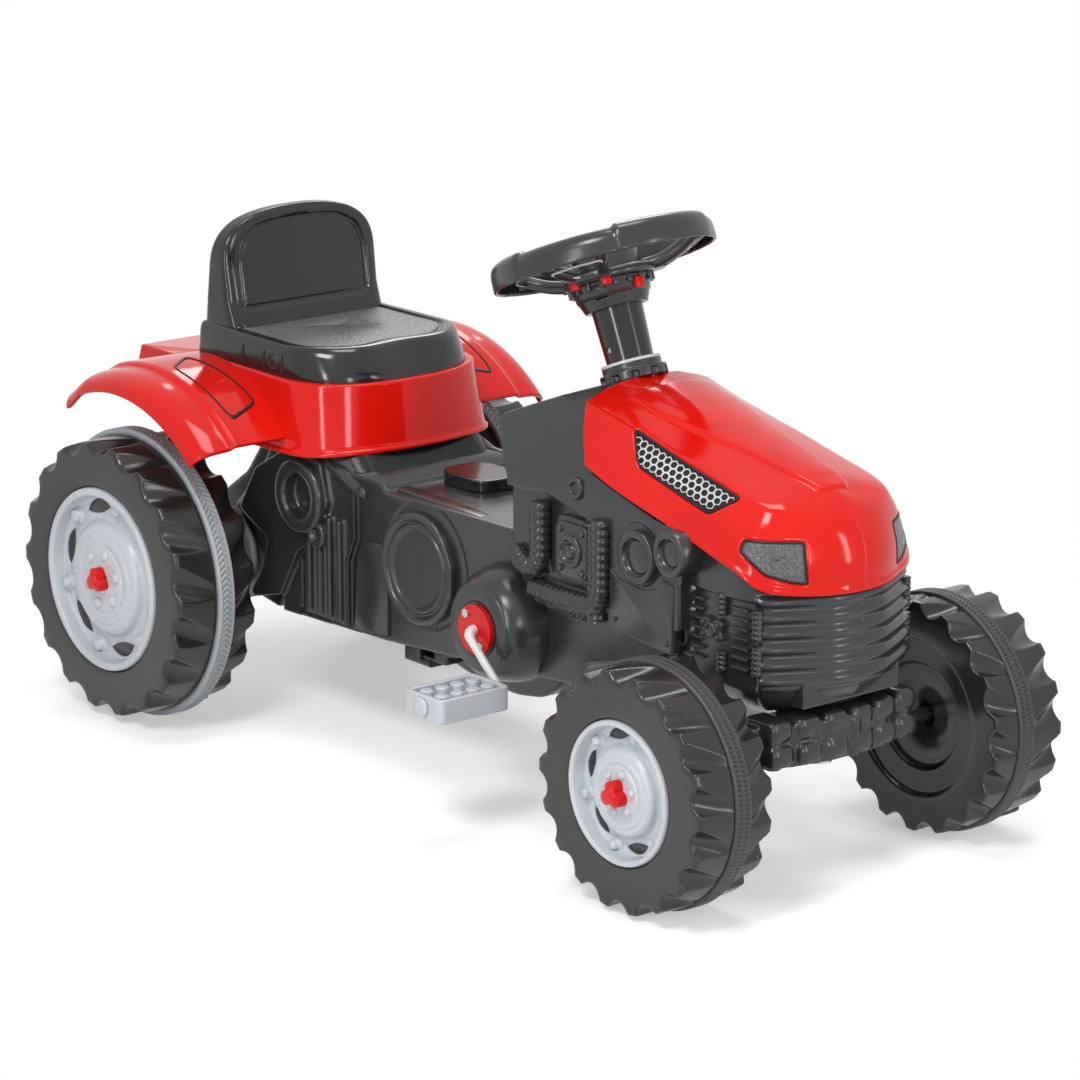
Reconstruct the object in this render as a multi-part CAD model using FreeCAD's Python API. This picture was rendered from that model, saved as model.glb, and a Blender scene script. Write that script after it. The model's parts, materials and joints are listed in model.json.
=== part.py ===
"""Ride-on pedal tractor with a chain drive, modelled in millimetres.

X points forward, Y to the driver's left and Z up. The origin lies on the floor,
under the middle of the tractor's length and width.
"""
import FreeCAD, Part
import math
import os

Vector = FreeCAD.Vector

# Clearances and cuts
overrun = 3.0
running_gap = 0.08
free_gap = 0.5
slot_gap = 0.9

# Wheels and axles
wheelbase = 737.0
rear_wheel_radius = 140.0
rear_wheel_width = 100.0
rear_rim_radius = 89.0
rear_track = 366.0
front_wheel_radius = 108.6
front_wheel_width = 92.0
front_rim_radius = 63.0
front_track = 330.0
axle_radius = 6.0
hub_radius = 14.0
band_width = 17.0
band_depth = 7.0
band_edge = 1.5
tyre_wall = 3.5
lug_count = 18
rim_depth = 24.0
rim_wall = 3.5
rim_lip = 2.0
cap_height = 13.0
cap_lobe_radius = 6.4
cap_lobe_offset = 6.2
rim_spoke_count = 6

# Chassis
moulded_wall = 3.0
chassis_tail = 40.0
chassis_length = 695.0
chassis_drop = 38.0
chassis_height = 198.0
chassis_width = 172.0
chassis_corner = 10.0
tail_width = 124.0
tail_length = 132.0
side_disc_radius = 52.0
side_disc_relief = 6.0
side_disc_reach = 318.0
side_disc_rise = 56.0
bracket_plate = 32.0
under_lug_length = 76.0
under_lug_width = 60.0
under_lug_depth = 22.0
deck_length = 160.0
deck_width = 112.0
deck_height = 26.0
deck_rise = 25.0
king_boss_radius = 18.0

# Pedal drive
crank_reach = 442.0
crank_rise = 30.0
crank_rod_radius = 5.0
crank_throw = 64.0
crank_angle = -41.0
crank_bend = 9.0
crank_arm_offset = 138.0
crank_boss_radius = 52.0
crank_boss_face = 40.0
crank_boss_width = 250.0
crank_bush_radius = 23.0
crank_bush_flange = 4.0
crank_bush_barrel = 11.0
pedal_length = 53.0
pedal_width = 78.0
pedal_height = 22.0
pedal_tray = 8.0
pedal_border = 5.0
pedal_stud_radius = 6.5
pedal_stud_count = 4
pedal_corner = 6.0
push_nut_radius = 9.0
push_nut_width = 4.0
chain_pitch = 12.7
chain_offset = 24.0
chain_plate = 1.2
chain_plate_height = 8.0
chain_roller_radius = 3.2
crank_teeth = 20
rear_teeth = 10
sprocket_width = 5.0
tooth_height = 3.6
sprocket_hub_radius = 13.0
sprocket_hub_width = 18.0
guard_gap = 7.0
guard_wall = 3.0
guard_width = 26.0
rear_bush_flange_radius = 46.0
rear_bush_flange = 6.0
rear_bush_barrel = 11.0
rear_spacer_length = 34.0

# Engine cowl and nose
cowl_reach = 428.0
cowl_length = 262.0
cowl_width = 206.0
cowl_bottom_rise = 63.0
cowl_height = 198.0
cowl_corner = 7.0
nose_reach = 682.0
nose_length = 134.0
nose_width = 186.0
nose_bottom_rise = 50.0
nose_height = 76.0
nose_rib_count = 5
nose_rib_depth = 4.0
round_disc_radius = 23.0
round_disc_relief = 7.0
pump_plate_width = 42.0
pump_plate_height = 46.0
pump_plate_relief = 5.0
hose_radius = 9.0
hose_rib = 1.6
hose_pitch = 6.5
flange_radius = 20.0
flange_relief = 5.0
cowl_screw_radius = 7.0
cowl_screw_depth = 5.0

# Hood
hood_reach = 529.0
hood_length = 282.0
hood_width = 204.0
hood_bottom_rise = 118.0
hood_height = 143.0
hood_wall = 3.5
hood_corner_small = 3.5
vent_inset = 0.8
headlight_inset = 0.8

# Rear body and fenders
body_tail = 132.0
body_length = 338.0
body_width = 242.0
body_bottom_rise = 131.0
body_height = 68.0
body_wall = 3.5
body_corner = 26.0
fender_gap = 46.0
fender_crown = 14.0
fender_width = 212.0
fender_root = 96.0
fender_thickness = 4.0
fender_front_angle = 46.0
fender_rear_angle = 118.0
body_rib = 4.0

# Seat
seat_tail = 30.0
seat_length = 222.0
seat_width = 190.0
seat_height = 31.0
seat_wall = 4.0
seat_corner = 24.0
backrest_height = 142.0
backrest_width = 180.0
backrest_depth = 60.0
backrest_corner = 38.0
seat_panel_depth = 1.6

# Steering
dash_reach = 511.0
dash_rise = 252.0
column_tilt = 22.8
shaft_radius = 6.0
shaft_top = 94.0
shaft_drop = 258.0
steering_crank = 50.0
steering_crank_width = 14.0
steering_pin_radius = 5.0
steering_pin_length = 26.0
column_foot = 10.0
column_top = 68.0
column_radius_low = 20.3
column_radius_high = 23.2
column_wall = 3.0
hub_low = 66.0
hub_high = 90.0
hub_radius_low = 28.5
hub_radius_high = 38.0
wheel_rise = 115.5
steering_wheel_radius = 101.0
steering_rim_width = 21.0
steering_rim_height = 22.0
spoke_width = 30.0
spoke_thickness = 9.0
spoke_count = 3
wheel_plate_radius = 42.0
horn_radius = 27.0
horn_height = 15.0
horn_travel = 4.0
horn_well_wall = 3.0
horn_stem_radius = 7.0
spring_wall = 1.5
collar_radius = 30.5
collar_height = 9.0
collar_neck_radius = 27.0
collar_neck_height = 15.0
collar_notch_count = 10
ring_height = 2.5
lower_bush_radius = 13.0
lower_bush_length = 26.0
column_bolt_radius = 3.0
column_bolt_rise = 30.0

# Front axle
king_lead = 20.0
king_bolt_radius = 6.0
king_head_radius = 11.0
king_head_height = 6.0
beam_span = 196.0
beam_depth = 50.0
beam_bow = 14.0
beam_height = 44.0
beam_drop = 2.0
beam_corner = 12.0
beam_lug_width = 24.0
beam_lug_depth = 38.0
tongue_width = 34.0
tongue_thickness = 6.0
tongue_rise = 8.0
tongue_end = 208.0

# Small fittings
screw_radius = 2.0
screw_head_radius = 4.0
screw_head = 2.4
screw_depth = 12.0
tunnel_cap_reach = 292.0
tunnel_cap_length = 70.0
tunnel_cap_width = 54.0
tunnel_cap_height = 10.0
hitch_width = 44.0
hitch_length = 64.0
hitch_thickness = 10.0
hitch_hole_radius = 8.0

# How much of a side a rounded corner may take
corner_limit_share = 0.45
# Shares of the tyre's radius and half width, from the hub outwards, on the inboard side
TYRE_INBOARD_SHARES = [(0.40, 0.60), (0.45, 0.78), (0.62, 0.82), (0.66, 0.95), (0.80, 1.00),
                       (0.885, 0.93), (0.935, 0.55)]
# The same on the outboard side, from the tread inwards
TYRE_OUTBOARD_SHARES = [(0.935, 0.55), (0.885, 0.93), (0.80, 1.00)]
# A lug's sections: share of half width, low and high radius shares, foot and top shares
# of the lug pitch, and the lean as a share of the pitch
LUG_SHARES = [(0.985, 0.780, 0.835, 0.26, 0.10, 0.00), (0.90, 0.80, 0.945, 0.31, 0.20, -0.06),
              (0.22, 0.88, 0.965, 0.34, 0.25, -0.30)]
# The rim's outer face: shares of rim radius and of rim depth
RIM_FACE_SHARES = [(0.40, 0.08), (0.43, 0.20), (0.56, 0.22), (0.64, 0.78), (0.85, 0.78),
                   (0.915, 0.06), (0.94, 0.0)]
rim_slot_radius_share = 0.72
rim_slot_width_share = 0.075
rim_slot_angle_share = 0.62
rim_boss_radius_share = 0.75
rim_boss_size_share = 0.075
rim_bolt_circle_share = 0.29
rim_bolt_size_share = 0.06
rim_bolt_height_share = 0.13
cap_side_share = 0.86
cap_ball_share = 0.5
# Outline of the chassis from the side: shares of chassis length and height
CHASSIS_SHARES = [(0.0, 0.06), (0.14, 0.0), (0.33, 0.025), (0.44, 0.04), (0.57, 0.075), (0.820, 0.145),
                  (0.845, 0.255), (1.0, 0.400), (1.0, 0.690), (0.80, 0.780), (0.425, 0.765), (0.418, 0.83),
                  (0.398, 0.94), (0.352, 1.0), (0.150, 1.0), (0.062, 0.60), (0.0, 0.45)]
# Arm plate beside the rear wheel: shares of chassis length and height
BRACKET_SHARES = [(0.105, 0.47), (0.145, 0.70), (0.215, 0.84), (0.295, 0.83), (0.310, 0.63), (0.285, 0.46),
                  (0.240, 0.34), (0.200, 0.10), (0.122, 0.03), (0.160, 0.22), (0.172, 0.36)]
bracket_boss_shares = (0.255, 0.635)
bracket_boss_size_share = 0.155
bracket_boss_depth_share = 0.6
bracket_bore_share = 0.7
# The round panel's groove and centre: shares of its radius and relief
side_disc_groove_share = 0.78
side_disc_floor_share = 0.5
side_disc_centre_share = 0.70
side_disc_top_share = 0.8
# The slotted foot: its place and heights, then its slot along, across and up
under_lug_place_share = 0.9
under_lug_top_share = 0.08
under_lug_low_share = 0.05
UNDER_SLOT_SHARES = [0.3, 0.75, 0.6, 0.3, 0.7]
deck_overlap_share = 0.12
# Side ribs behind the round panel: shares of chassis length
SIDE_RIB_SHARES = [0.262, 0.285, 0.308, 0.331]
side_rib_size_share = 0.010
side_rib_bottom_share = 0.06
side_rib_top_share = 0.56
# Engine block from the side: shares of cowl length and height
COWL_SHARES = [(0.107, 0.162), (0.107, 0.55), (0.008, 0.763), (0.015, 0.798), (0.385, 0.995), (0.40, 0.975),
               (0.53, 0.662), (0.851, 0.55), (1.0, 0.50), (1.0, 0.0), (0.81, 0.01), (0.637, 0.05),
               (0.2175, 0.0), (0.16, 0.06)]
# Engine block from the front: shares of half width and cowl height
COWL_SECTION_SHARES = [(1.0, -0.2), (1.0, 0.565), (0.94, 0.69), (0.855, 0.793), (0.70, 0.924), (0.39, 0.98),
                       (0.0, 1.0)]
# Nose from above: shares of nose length and half width
NOSE_PLAN_SHARES = [(0.0, 0.97), (0.60, 0.99), (0.80, 0.88), (0.93, 0.58), (1.0, 0.20), (1.0, 0.0)]
nose_loft_share = 1.2
NOSE_TOP_SHARES = [(0.0, 1.55), (0.0, 0.0), (1.1, 0.0), (1.1, 0.96), (0.80, 1.13)]
# Hood cross-sections from the back to the front: share of hood length, then points from the
# lower edge to the middle as shares of half width and hood height
HOOD_STATION_SHARES = [
    (0.0, [(0.98, 0.664), (0.931, 0.755), (0.833, 0.846), (0.686, 0.909), (0.392, 0.972), (0.0, 1.0)]),
    (0.252, [(0.99, 0.483), (0.912, 0.587), (0.804, 0.699), (0.686, 0.79), (0.343, 0.881), (0.0, 0.909)]),
    (0.433, [(0.99, 0.392), (0.912, 0.51), (0.814, 0.629), (0.686, 0.72), (0.275, 0.804), (0.0, 0.825)]),
    (0.606, [(0.98, 0.301), (0.912, 0.427), (0.824, 0.552), (0.686, 0.643), (0.245, 0.727), (0.0, 0.748)]),
    (0.773, [(0.941, 0.203), (0.892, 0.329), (0.814, 0.462), (0.676, 0.573), (0.235, 0.65), (0.0, 0.671)]),
    (0.872, [(0.814, 0.077), (0.784, 0.245), (0.725, 0.413), (0.588, 0.517), (0.216, 0.587), (0.0, 0.601)]),
    (0.933, [(0.529, 0.045), (0.52, 0.21), (0.48, 0.357), (0.392, 0.441), (0.167, 0.503), (0.0, 0.517)]),
    (0.982, [(0.245, 0.042), (0.235, 0.14), (0.206, 0.238), (0.157, 0.294), (0.078, 0.322), (0.0, 0.329)]),
    (1.0, [(0.078, 0.042), (0.074, 0.07), (0.064, 0.105), (0.049, 0.133), (0.029, 0.15), (0.0, 0.154)])]
# The slanting back edge of the hood from the side: shares of hood length and height
HOOD_BACK_SHARES = [(0.175, 0.42), (-0.135, 1.26), (-1.0, 1.26), (-1.0, 0.42)]
VENT_SHARES = [(0.218, 0.811), (0.308, 0.627), (0.634, 0.46), (0.723, 0.575)]
HEADLIGHT_SHARES = [(0.90, 0.30), (0.863, 0.364), (0.47, 0.364), (0.46, 0.112), (0.784, 0.175)]
headlight_reach_share = 0.748
# Rear body from above at its skirt and at its top: shares of body length and half width
BODY_LOW_SHARES = [(0.0, 0.82), (0.559, 0.93), (0.805, 0.925), (0.879, 0.885), (0.938, 0.76), (0.976, 0.51),
                   (1.0, 0.207)]
BODY_HIGH_SHARES = [(0.018, 0.79), (0.559, 0.83), (0.76, 0.86), (0.834, 0.826), (0.899, 0.71), (0.941, 0.50),
                    (0.967, 0.18)]
# Rear body from the side: shares of body length and height
BODY_SIDE_SHARES = [(-0.01, 0.47), (-0.01, 0.84), (0.287, 0.86), (0.31, 1.0), (1.01, 1.0), (1.01, 0.06),
                    (0.867, 0.0), (0.654, 0.0), (0.204, 0.26)]
BODY_RIB_SHARES = [0.63, 0.89]
# Fender section from the root to the lip: shares of the fender's reach and crown
FENDER_SECTION_SHARES = [(0.0, 1.0), (0.62, 0.93), (0.86, 0.70), (1.0, 0.08), (0.985, 0.0)]
# Seat base from above: shares of seat length and half width
SEAT_SHARES = [(0.0, 0.96), (0.63, 1.0), (0.82, 0.94), (0.93, 0.75), (0.985, 0.45), (1.0, 0.18)]
seat_taper_share = 0.965
seat_panel_share = 0.84
# Backrest from the side: shares of backrest depth and height
BACKREST_SHARES = [(0.0, 0.0), (0.05, 0.22), (0.34, 0.94), (0.46, 1.0), (0.66, 0.97), (0.85, 0.40),
                   (1.0, 0.24), (1.0, 0.0)]
# Backrest from the front: shares of half width and height
BACKREST_FRONT_SHARES = [(1.0, 0.0), (1.0, 0.62), (0.95, 0.84), (0.62, 0.97), (0.20, 1.0)]
# Front beam from above: shares of half span, beam depth and bow
BEAM_SHARES = [(1.0, 0.0, 0.0), (1.0, 0.78, 0.0), (0.62, 1.0, 0.45), (0.20, 1.0, 1.0)]
BEAM_BUMP_SHARES = [-0.78, -0.36, 0.06, 0.42, 0.74]
beam_bump_size_share = 0.14
# Places on the cowl's side: shares of cowl length and height
ROUND_DISC_SHARES = [(0.798, 0.369), (0.95, 0.424)]
pump_shares = (0.431, 0.288)
hose_left_share = 0.267
hose_right_share = 0.569
hose_top_share = 0.4545
hose_foot_share = 0.0
hose_rise_share = 0.150
cowl_screw_shares = (0.4885, 0.56)
flange_shares = (0.37, 0.50)
cowl_floor_share = 0.2
round_disc_bore_share = 0.66
round_disc_floor_share = 0.6
pump_boss_share = 0.3
hose_sink_share = 0.2
# Small fittings: shares of the sizes that they follow
TOOTH_SHARES = [(0.0, -0.5), (0.0, -0.28), (1.0, -0.08), (1.0, 0.08), (0.0, 0.28)]
tunnel_cap_corner_share = 0.7
collar_notch_share = 0.12
collar_notch_rise_share = 0.7
hub_window_inner_share = 0.5
hub_window_share = 0.1
steering_edge_share = 0.3
beam_lug_rise_share = 0.7
beam_bump_rise_share = 0.9
tongue_corner_share = 0.6
pin_slot_share = 0.72
crank_screw_shares = (0.6, 0.8)
SEAT_SCREW_SHARES = [0.3, 0.7]
seat_screw_side_share = 0.3

# Derived places
overall_length = rear_wheel_radius + wheelbase + front_wheel_radius
rear_axle_x = rear_wheel_radius - overall_length / 2
rear_axle_z = rear_wheel_radius
front_axle_x = rear_axle_x + wheelbase
front_axle_z = front_wheel_radius
chassis_x = rear_axle_x - chassis_tail
chassis_z = rear_axle_z - chassis_drop
crank_x = rear_axle_x + crank_reach
crank_z = rear_axle_z + crank_rise
cowl_x = rear_axle_x + cowl_reach
cowl_z = rear_axle_z + cowl_bottom_rise
nose_x = rear_axle_x + nose_reach
nose_z = rear_axle_z + nose_bottom_rise
hood_x = rear_axle_x + hood_reach
hood_z = rear_axle_z + hood_bottom_rise
body_x = rear_axle_x - body_tail
body_z = rear_axle_z + body_bottom_rise
body_top_z = body_z + body_height
seat_x = rear_axle_x - seat_tail
seat_z = body_top_z
dash_x = rear_axle_x + dash_reach
dash_z = rear_axle_z + dash_rise
deck_z = rear_axle_z + deck_rise
king_x = front_axle_x + king_lead
tongue_z = front_axle_z + tongue_rise
beam_z = front_axle_z - beam_drop
fender_radius = rear_wheel_radius + fender_gap


def scaled(shares, origin, size):
    """Turn shares of a size into points, measured from an origin."""
    return [(origin[0] + a * size[0], origin[1] + b * size[1]) for a, b in shares]


def rounded_wire(points, radius, lift):
    """A closed wire through flat points with rounded corners; lift places a point in space."""
    count = len(points)
    edges = []
    corners = []
    for i in range(count):
        before = Vector(*points[i - 1], 0)
        here = Vector(*points[i], 0)
        after = Vector(*points[(i + 1) % count], 0)
        inward = before - here
        onward = after - here
        half_turn = (math.pi - inward.getAngle(onward)) / 2
        reach = min(radius * math.tan(half_turn), corner_limit_share * inward.Length,
                    corner_limit_share * onward.Length)
        first = here + inward.normalize() * reach
        last = here + onward.normalize() * reach
        middle_way = (inward + onward)
        arc_radius = reach / math.tan(half_turn)
        if middle_way.Length > 0:
            depth = arc_radius / math.cos(half_turn) - arc_radius
            middle = here + middle_way.normalize() * depth
        else:
            middle = here
        corners.append((first, middle, last))
    for i in range(count):
        first, middle, last = (lift(p.x, p.y) for p in corners[i])
        following = lift(corners[(i + 1) % count][0].x, corners[(i + 1) % count][0].y)
        edges.append(Part.Arc(first, middle, last).toShape())
        edges.append(Part.LineSegment(last, following).toShape())
    return Part.Wire(edges)


def plain_wire(points, lift):
    placed = [lift(a, b) for a, b in points]
    return Part.makePolygon(placed + [placed[0]])


def side_lift(y):
    """Places a side-view point (x, z) at a given y."""
    return lambda a, b: Vector(a, y, b)


def plan_lift(z):
    """Places a plan-view point (x, y) at a given z."""
    return lambda a, b: Vector(a, b, z)


def front_lift(x):
    """Places a front-view point (y, z) at a given x."""
    return lambda a, b: Vector(x, a, b)


def side_prism(wire_points, radius, y_low, y_high):
    wire = rounded_wire(wire_points, radius, side_lift(y_low)) if radius else plain_wire(wire_points,
                                                                                       side_lift(y_low))
    return Part.Face(wire).extrude(Vector(0, y_high - y_low, 0))


def plan_prism(wire_points, radius, z_low, z_high):
    wire = rounded_wire(wire_points, radius, plan_lift(z_low)) if radius else plain_wire(wire_points,
                                                                                       plan_lift(z_low))
    return Part.Face(wire).extrude(Vector(0, 0, z_high - z_low))


def block(x_low, x_high, y_low, y_high, z_low, z_high):
    return Part.makeBox(x_high - x_low, y_high - y_low, z_high - z_low, Vector(x_low, y_low, z_low))


def disc(radius, height, base, axis):
    return Part.makeCylinder(radius, height, base, axis)


def across(radius, x, z, y_low, y_high):
    """A cylinder along Y."""
    return disc(radius, y_high - y_low, Vector(x, y_low, z), Vector(0, 1, 0))


def upright(radius, x, y, z_low, z_high):
    """A cylinder along Z."""
    return disc(radius, z_high - z_low, Vector(x, y, z_low), Vector(0, 0, 1))


def joined(shapes):
    whole = shapes[0]
    if len(shapes) > 1:
        whole = whole.fuse(shapes[1:])
    return whole.removeSplitter()


def less(shape, tools):
    return shape.cut(tools) if tools else shape


def mirrored(shape):
    return shape.mirror(Vector(0, 0, 0), Vector(0, 1, 0))


def moved(shape, x, y, z):
    copy = shape.copy()
    copy.translate(Vector(x, y, z))
    return copy


def revolved(points):
    """A full turn about Y of a profile given as (radius, y)."""
    face = Part.Face(plain_wire(points, plan_lift(0)))
    return face.revolve(Vector(0, 0, 0), Vector(0, 1, 0), 360)


def both_sides(points):
    """Complete a half outline given at positive y with its mirror image."""
    return points + [(a, -b) for a, b in reversed(points) if b > 0]


# Wheels: built about the origin with the outer face towards -Y

def tyre(radius, width, rim_radius):
    half = width / 2
    hole = hub_radius
    inboard = [(radius * r, half * y) for r, y in TYRE_INBOARD_SHARES]
    outboard = [(radius * r, -half * y) for r, y in TYRE_OUTBOARD_SHARES]
    seat = radius - band_depth
    floor = rim_depth - half
    profile = [(hole, inboard[0][1])] + inboard
    profile += [(seat, band_width / 2), (seat, -band_width / 2)] + outboard
    profile += [(rim_radius, -half), (rim_radius, floor), (hole, floor)]
    skin = revolved(profile)
    skin = less(skin, [tyre_cavity(inboard, outboard, seat, floor, rim_radius)])
    lugs = [lug(radius, half, i, side) for i in range(lug_count) for side in (-1, 1)]
    return joined([skin] + lugs)


def tyre_cavity(inboard, outboard, seat, floor, rim_radius):
    """The hollow of the blow-moulded tyre, open to the hub."""
    inner = [(r - tyre_wall, y - tyre_wall) for r, y in inboard[4:]]
    outer = [(r - tyre_wall, y + tyre_wall) for r, y in outboard]
    low = hub_radius - overrun
    start = inboard[1][1] - tyre_wall
    step = inboard[0][1] - tyre_wall
    profile = [(low, step), (inboard[0][0] + tyre_wall, step), (inboard[1][0] + tyre_wall, start)]
    profile += [(inboard[3][0], start)] + inner
    profile += [(seat - tyre_wall, 0)] + outer
    profile += [(rim_radius + tyre_wall, outer[-1][1]), (rim_radius + tyre_wall, floor + tyre_wall)]
    profile += [(low, floor + tyre_wall)]
    return revolved(profile)


def lug(radius, half, index, side):
    """One slanted tread lug, as a loft through three four-sided sections."""
    pitch = 2 * math.pi / lug_count
    stagger = 0.5 if side > 0 else 0.0
    wires = []
    for y_share, low_share, high_share, foot_share, top_share, lean_share in LUG_SHARES:
        angle = (index + stagger + lean_share) * pitch
        corners = [(low_share, -foot_share), (high_share, -top_share), (high_share, top_share),
                   (low_share, foot_share)]
        points = []
        for r_share, t_share in corners:
            turn = angle + t_share * pitch
            reach = r_share * radius
            points.append(Vector(reach * math.cos(turn), side * y_share * half, reach * math.sin(turn)))
        wires.append(Part.makePolygon(points + [points[0]]))
    return Part.makeLoft(wires, True, True)


def traction_band(radius):
    half = band_width / 2
    inner = radius - band_depth
    return revolved([(inner, half), (radius - band_edge, half), (radius, half - band_edge),
                     (radius, band_edge - half), (radius - band_edge, -half), (inner, -half)])


def wheel_rim(width, rim_radius, hub_reach, bore_gap):
    """The pressed-in rim with its hub tube, slots, bosses and bolt bumps."""
    face_y = -width / 2
    back = face_y + rim_depth
    face = [(rim_radius * r, face_y + rim_depth * d) for r, d in RIM_FACE_SHARES]
    front_y = face[0][1]
    bore = axle_radius + bore_gap
    lip_y = face_y - rim_lip
    profile = [(bore, front_y)] + face + [(face[-1][0], lip_y), (rim_radius, lip_y), (rim_radius, back)]
    profile += [(bore, back)]
    rim = revolved(profile)
    tube = across(hub_radius, 0, 0, front_y + rim_wall, hub_reach)
    hollow = revolved([(hub_radius, face[1][1] + rim_wall), (face[2][0] - rim_wall, face[2][1] + rim_wall),
                       (face[3][0] - rim_wall, back + overrun), (hub_radius, back + overrun)])
    rim = rim.cut(hollow).fuse(tube).cut(across(bore, 0, 0, lip_y - overrun, hub_reach + overrun))
    extras = []
    slots = []
    step = 2 * math.pi / rim_spoke_count
    for i in range(rim_spoke_count):
        extras.append(rim_boss(rim_radius, i * step, face[4][1]))
        extras.append(rim_bolt(rim_radius, i * step, front_y))
        slots.append(rim_slot(rim_radius, (i + 0.5) * step, step, back))
    return joined([rim.cut(slots)] + extras)


def rim_boss(rim_radius, angle, floor_y):
    reach = rim_boss_radius_share * rim_radius
    size = rim_boss_size_share * rim_radius
    return across(size, reach * math.cos(angle), reach * math.sin(angle), floor_y - size, floor_y + rim_wall)


def rim_bolt(rim_radius, angle, face_y):
    reach = rim_bolt_circle_share * rim_radius
    size = rim_bolt_size_share * rim_radius
    height = rim_bolt_height_share * rim_depth
    return across(size, reach * math.cos(angle), reach * math.sin(angle), face_y - height, face_y + rim_wall / 2)


def rim_slot(rim_radius, angle, step, back):
    """An arc-shaped slot through the groove of the rim."""
    reach = rim_slot_radius_share * rim_radius
    size = rim_slot_width_share * rim_radius
    sweep = rim_slot_angle_share * step
    low = reach - size
    high = reach + size
    tool = revolved([(low, -back), (high, -back), (high, back + overrun), (low, back + overrun)])
    far = 2 * rim_radius
    wedge = [(0, 0)]
    for turn in (-0.5, 0.5):
        wedge.append((far * math.cos(angle + turn * sweep), far * math.sin(angle + turn * sweep)))
    return tool.common(side_prism(wedge, 0, -far, far))


def hub_cap(width):
    """The three-lobed red cap over the end of the axle."""
    base_y = rim_depth * RIM_FACE_SHARES[0][1] - width / 2
    lobes = [across(cap_lobe_radius, 0, 0, base_y - cap_height, base_y)]
    for i in range(3):
        turn = 2 * math.pi * i / 3 + math.pi / 2
        x = cap_lobe_offset * math.cos(turn)
        z = cap_lobe_offset * math.sin(turn)
        lobes.append(across(cap_lobe_radius, x, z, base_y - cap_height * cap_side_share, base_y))
        lobes.append(Part.makeSphere(cap_lobe_radius, Vector(x, base_y - cap_height * cap_ball_share, z)))
    cap = joined(lobes)
    far = 2 * cap_height
    return cap.common(block(-far, far, base_y - cap_height, base_y, -far, far))


def wheel_set(prefix, radius, width, rim_radius, track, axle_x, hub_inner, driven_side):
    """The four pieces of each wheel on both sides of one axle."""
    pieces = {}
    hub_reach = track / 2 - hub_inner
    for side, flip in (("right", False), ("left", True)):
        gap = 0.0 if side == driven_side else running_gap
        shapes = {"tyre": tyre(radius, width, rim_radius), "traction_band": traction_band(radius),
                  "rim": wheel_rim(width, rim_radius, hub_reach, gap), "hub_cap": hub_cap(width)}
        for piece, shape in shapes.items():
            shape = moved(shape, axle_x, -track / 2, radius)
            pieces[prefix + "_" + piece + "_" + side] = mirrored(shape) if flip else shape
    return pieces


# Chassis

def chassis_outline():
    return scaled(CHASSIS_SHARES, (chassis_x, chassis_z), (chassis_length, chassis_height))


def chassis_solid():
    """The outer form of the chassis's right half, without its small details."""
    half = chassis_width / 2
    body = side_prism(chassis_outline(), chassis_corner, -half, 0)
    tail = block(chassis_x - overrun, chassis_x + tail_length, -half - overrun, -tail_width / 2,
                 chassis_z - overrun, chassis_z + chassis_height + overrun)
    return body.cut(tail).fuse(crank_boss(0.0))


def crank_boss(inset):
    """The tapering boss round the crank on the right side, drawn in by an inset."""
    length = (crank_boss_width - chassis_width) / 2
    face_y = inset - crank_boss_width / 2
    cone = Part.makeCone(crank_boss_face - inset, crank_boss_radius - inset, length,
                         Vector(crank_x, face_y, crank_z), Vector(0, 1, 0))
    return cone.fuse(across(crank_boss_radius - inset, crank_x, crank_z, face_y + length, 0))


def chassis_cavity():
    half = chassis_width / 2 - moulded_wall
    face = Part.Face(rounded_wire(chassis_outline(), chassis_corner, side_lift(-half)))
    inner = face.makeOffset2D(-moulded_wall).extrude(Vector(0, half + overrun, 0))
    tail = block(chassis_x - overrun, chassis_x + tail_length + moulded_wall, -half - overrun,
                 moulded_wall - tail_width / 2, chassis_z - overrun, chassis_z + chassis_height + overrun)
    return inner.cut(tail).fuse(crank_boss(moulded_wall))


def chassis_details():
    """Raised details on the chassis's right side."""
    half = chassis_width / 2
    size = (chassis_length, chassis_height)
    disc_x = rear_axle_x + side_disc_reach
    disc_z = rear_axle_z + side_disc_rise
    details = [across(side_disc_radius, disc_x, disc_z, -half - side_disc_relief, -half)]
    groove = across(side_disc_radius * side_disc_groove_share, disc_x, disc_z, -half - side_disc_relief - overrun,
                    -half - side_disc_relief * side_disc_floor_share)
    centre = across(side_disc_radius * side_disc_centre_share, disc_x, disc_z,
                    -half - side_disc_relief * side_disc_top_share, -half)
    details = [details[0].cut(groove), centre]
    plate = side_prism(scaled(BRACKET_SHARES, (chassis_x, chassis_z), size), chassis_corner / 2,
                       -tail_width / 2 - bracket_plate, -tail_width / 2)
    boss_x = chassis_x + bracket_boss_shares[0] * chassis_length
    boss_z = chassis_z + bracket_boss_shares[1] * chassis_height
    boss_r = bracket_boss_size_share * chassis_height
    outer = -tail_width / 2 - bracket_plate
    rim_y = outer - side_disc_relief
    plate = plate.fuse(across(boss_r, boss_x, boss_z, rim_y, -tail_width / 2))
    plate = plate.cut(across(boss_r * bracket_bore_share, boss_x, boss_z, rim_y - overrun,
                             rim_y + bracket_boss_depth_share * bracket_plate))
    details.append(plate)
    rib = side_rib_size_share * chassis_length
    for share in SIDE_RIB_SHARES:
        x = chassis_x + share * chassis_length
        details.append(block(x - rib / 2, x + rib / 2, -half - rib, -half + moulded_wall / 2,
                             chassis_z + side_rib_bottom_share * chassis_height,
                             chassis_z + side_rib_top_share * chassis_height))
    return details


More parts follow.
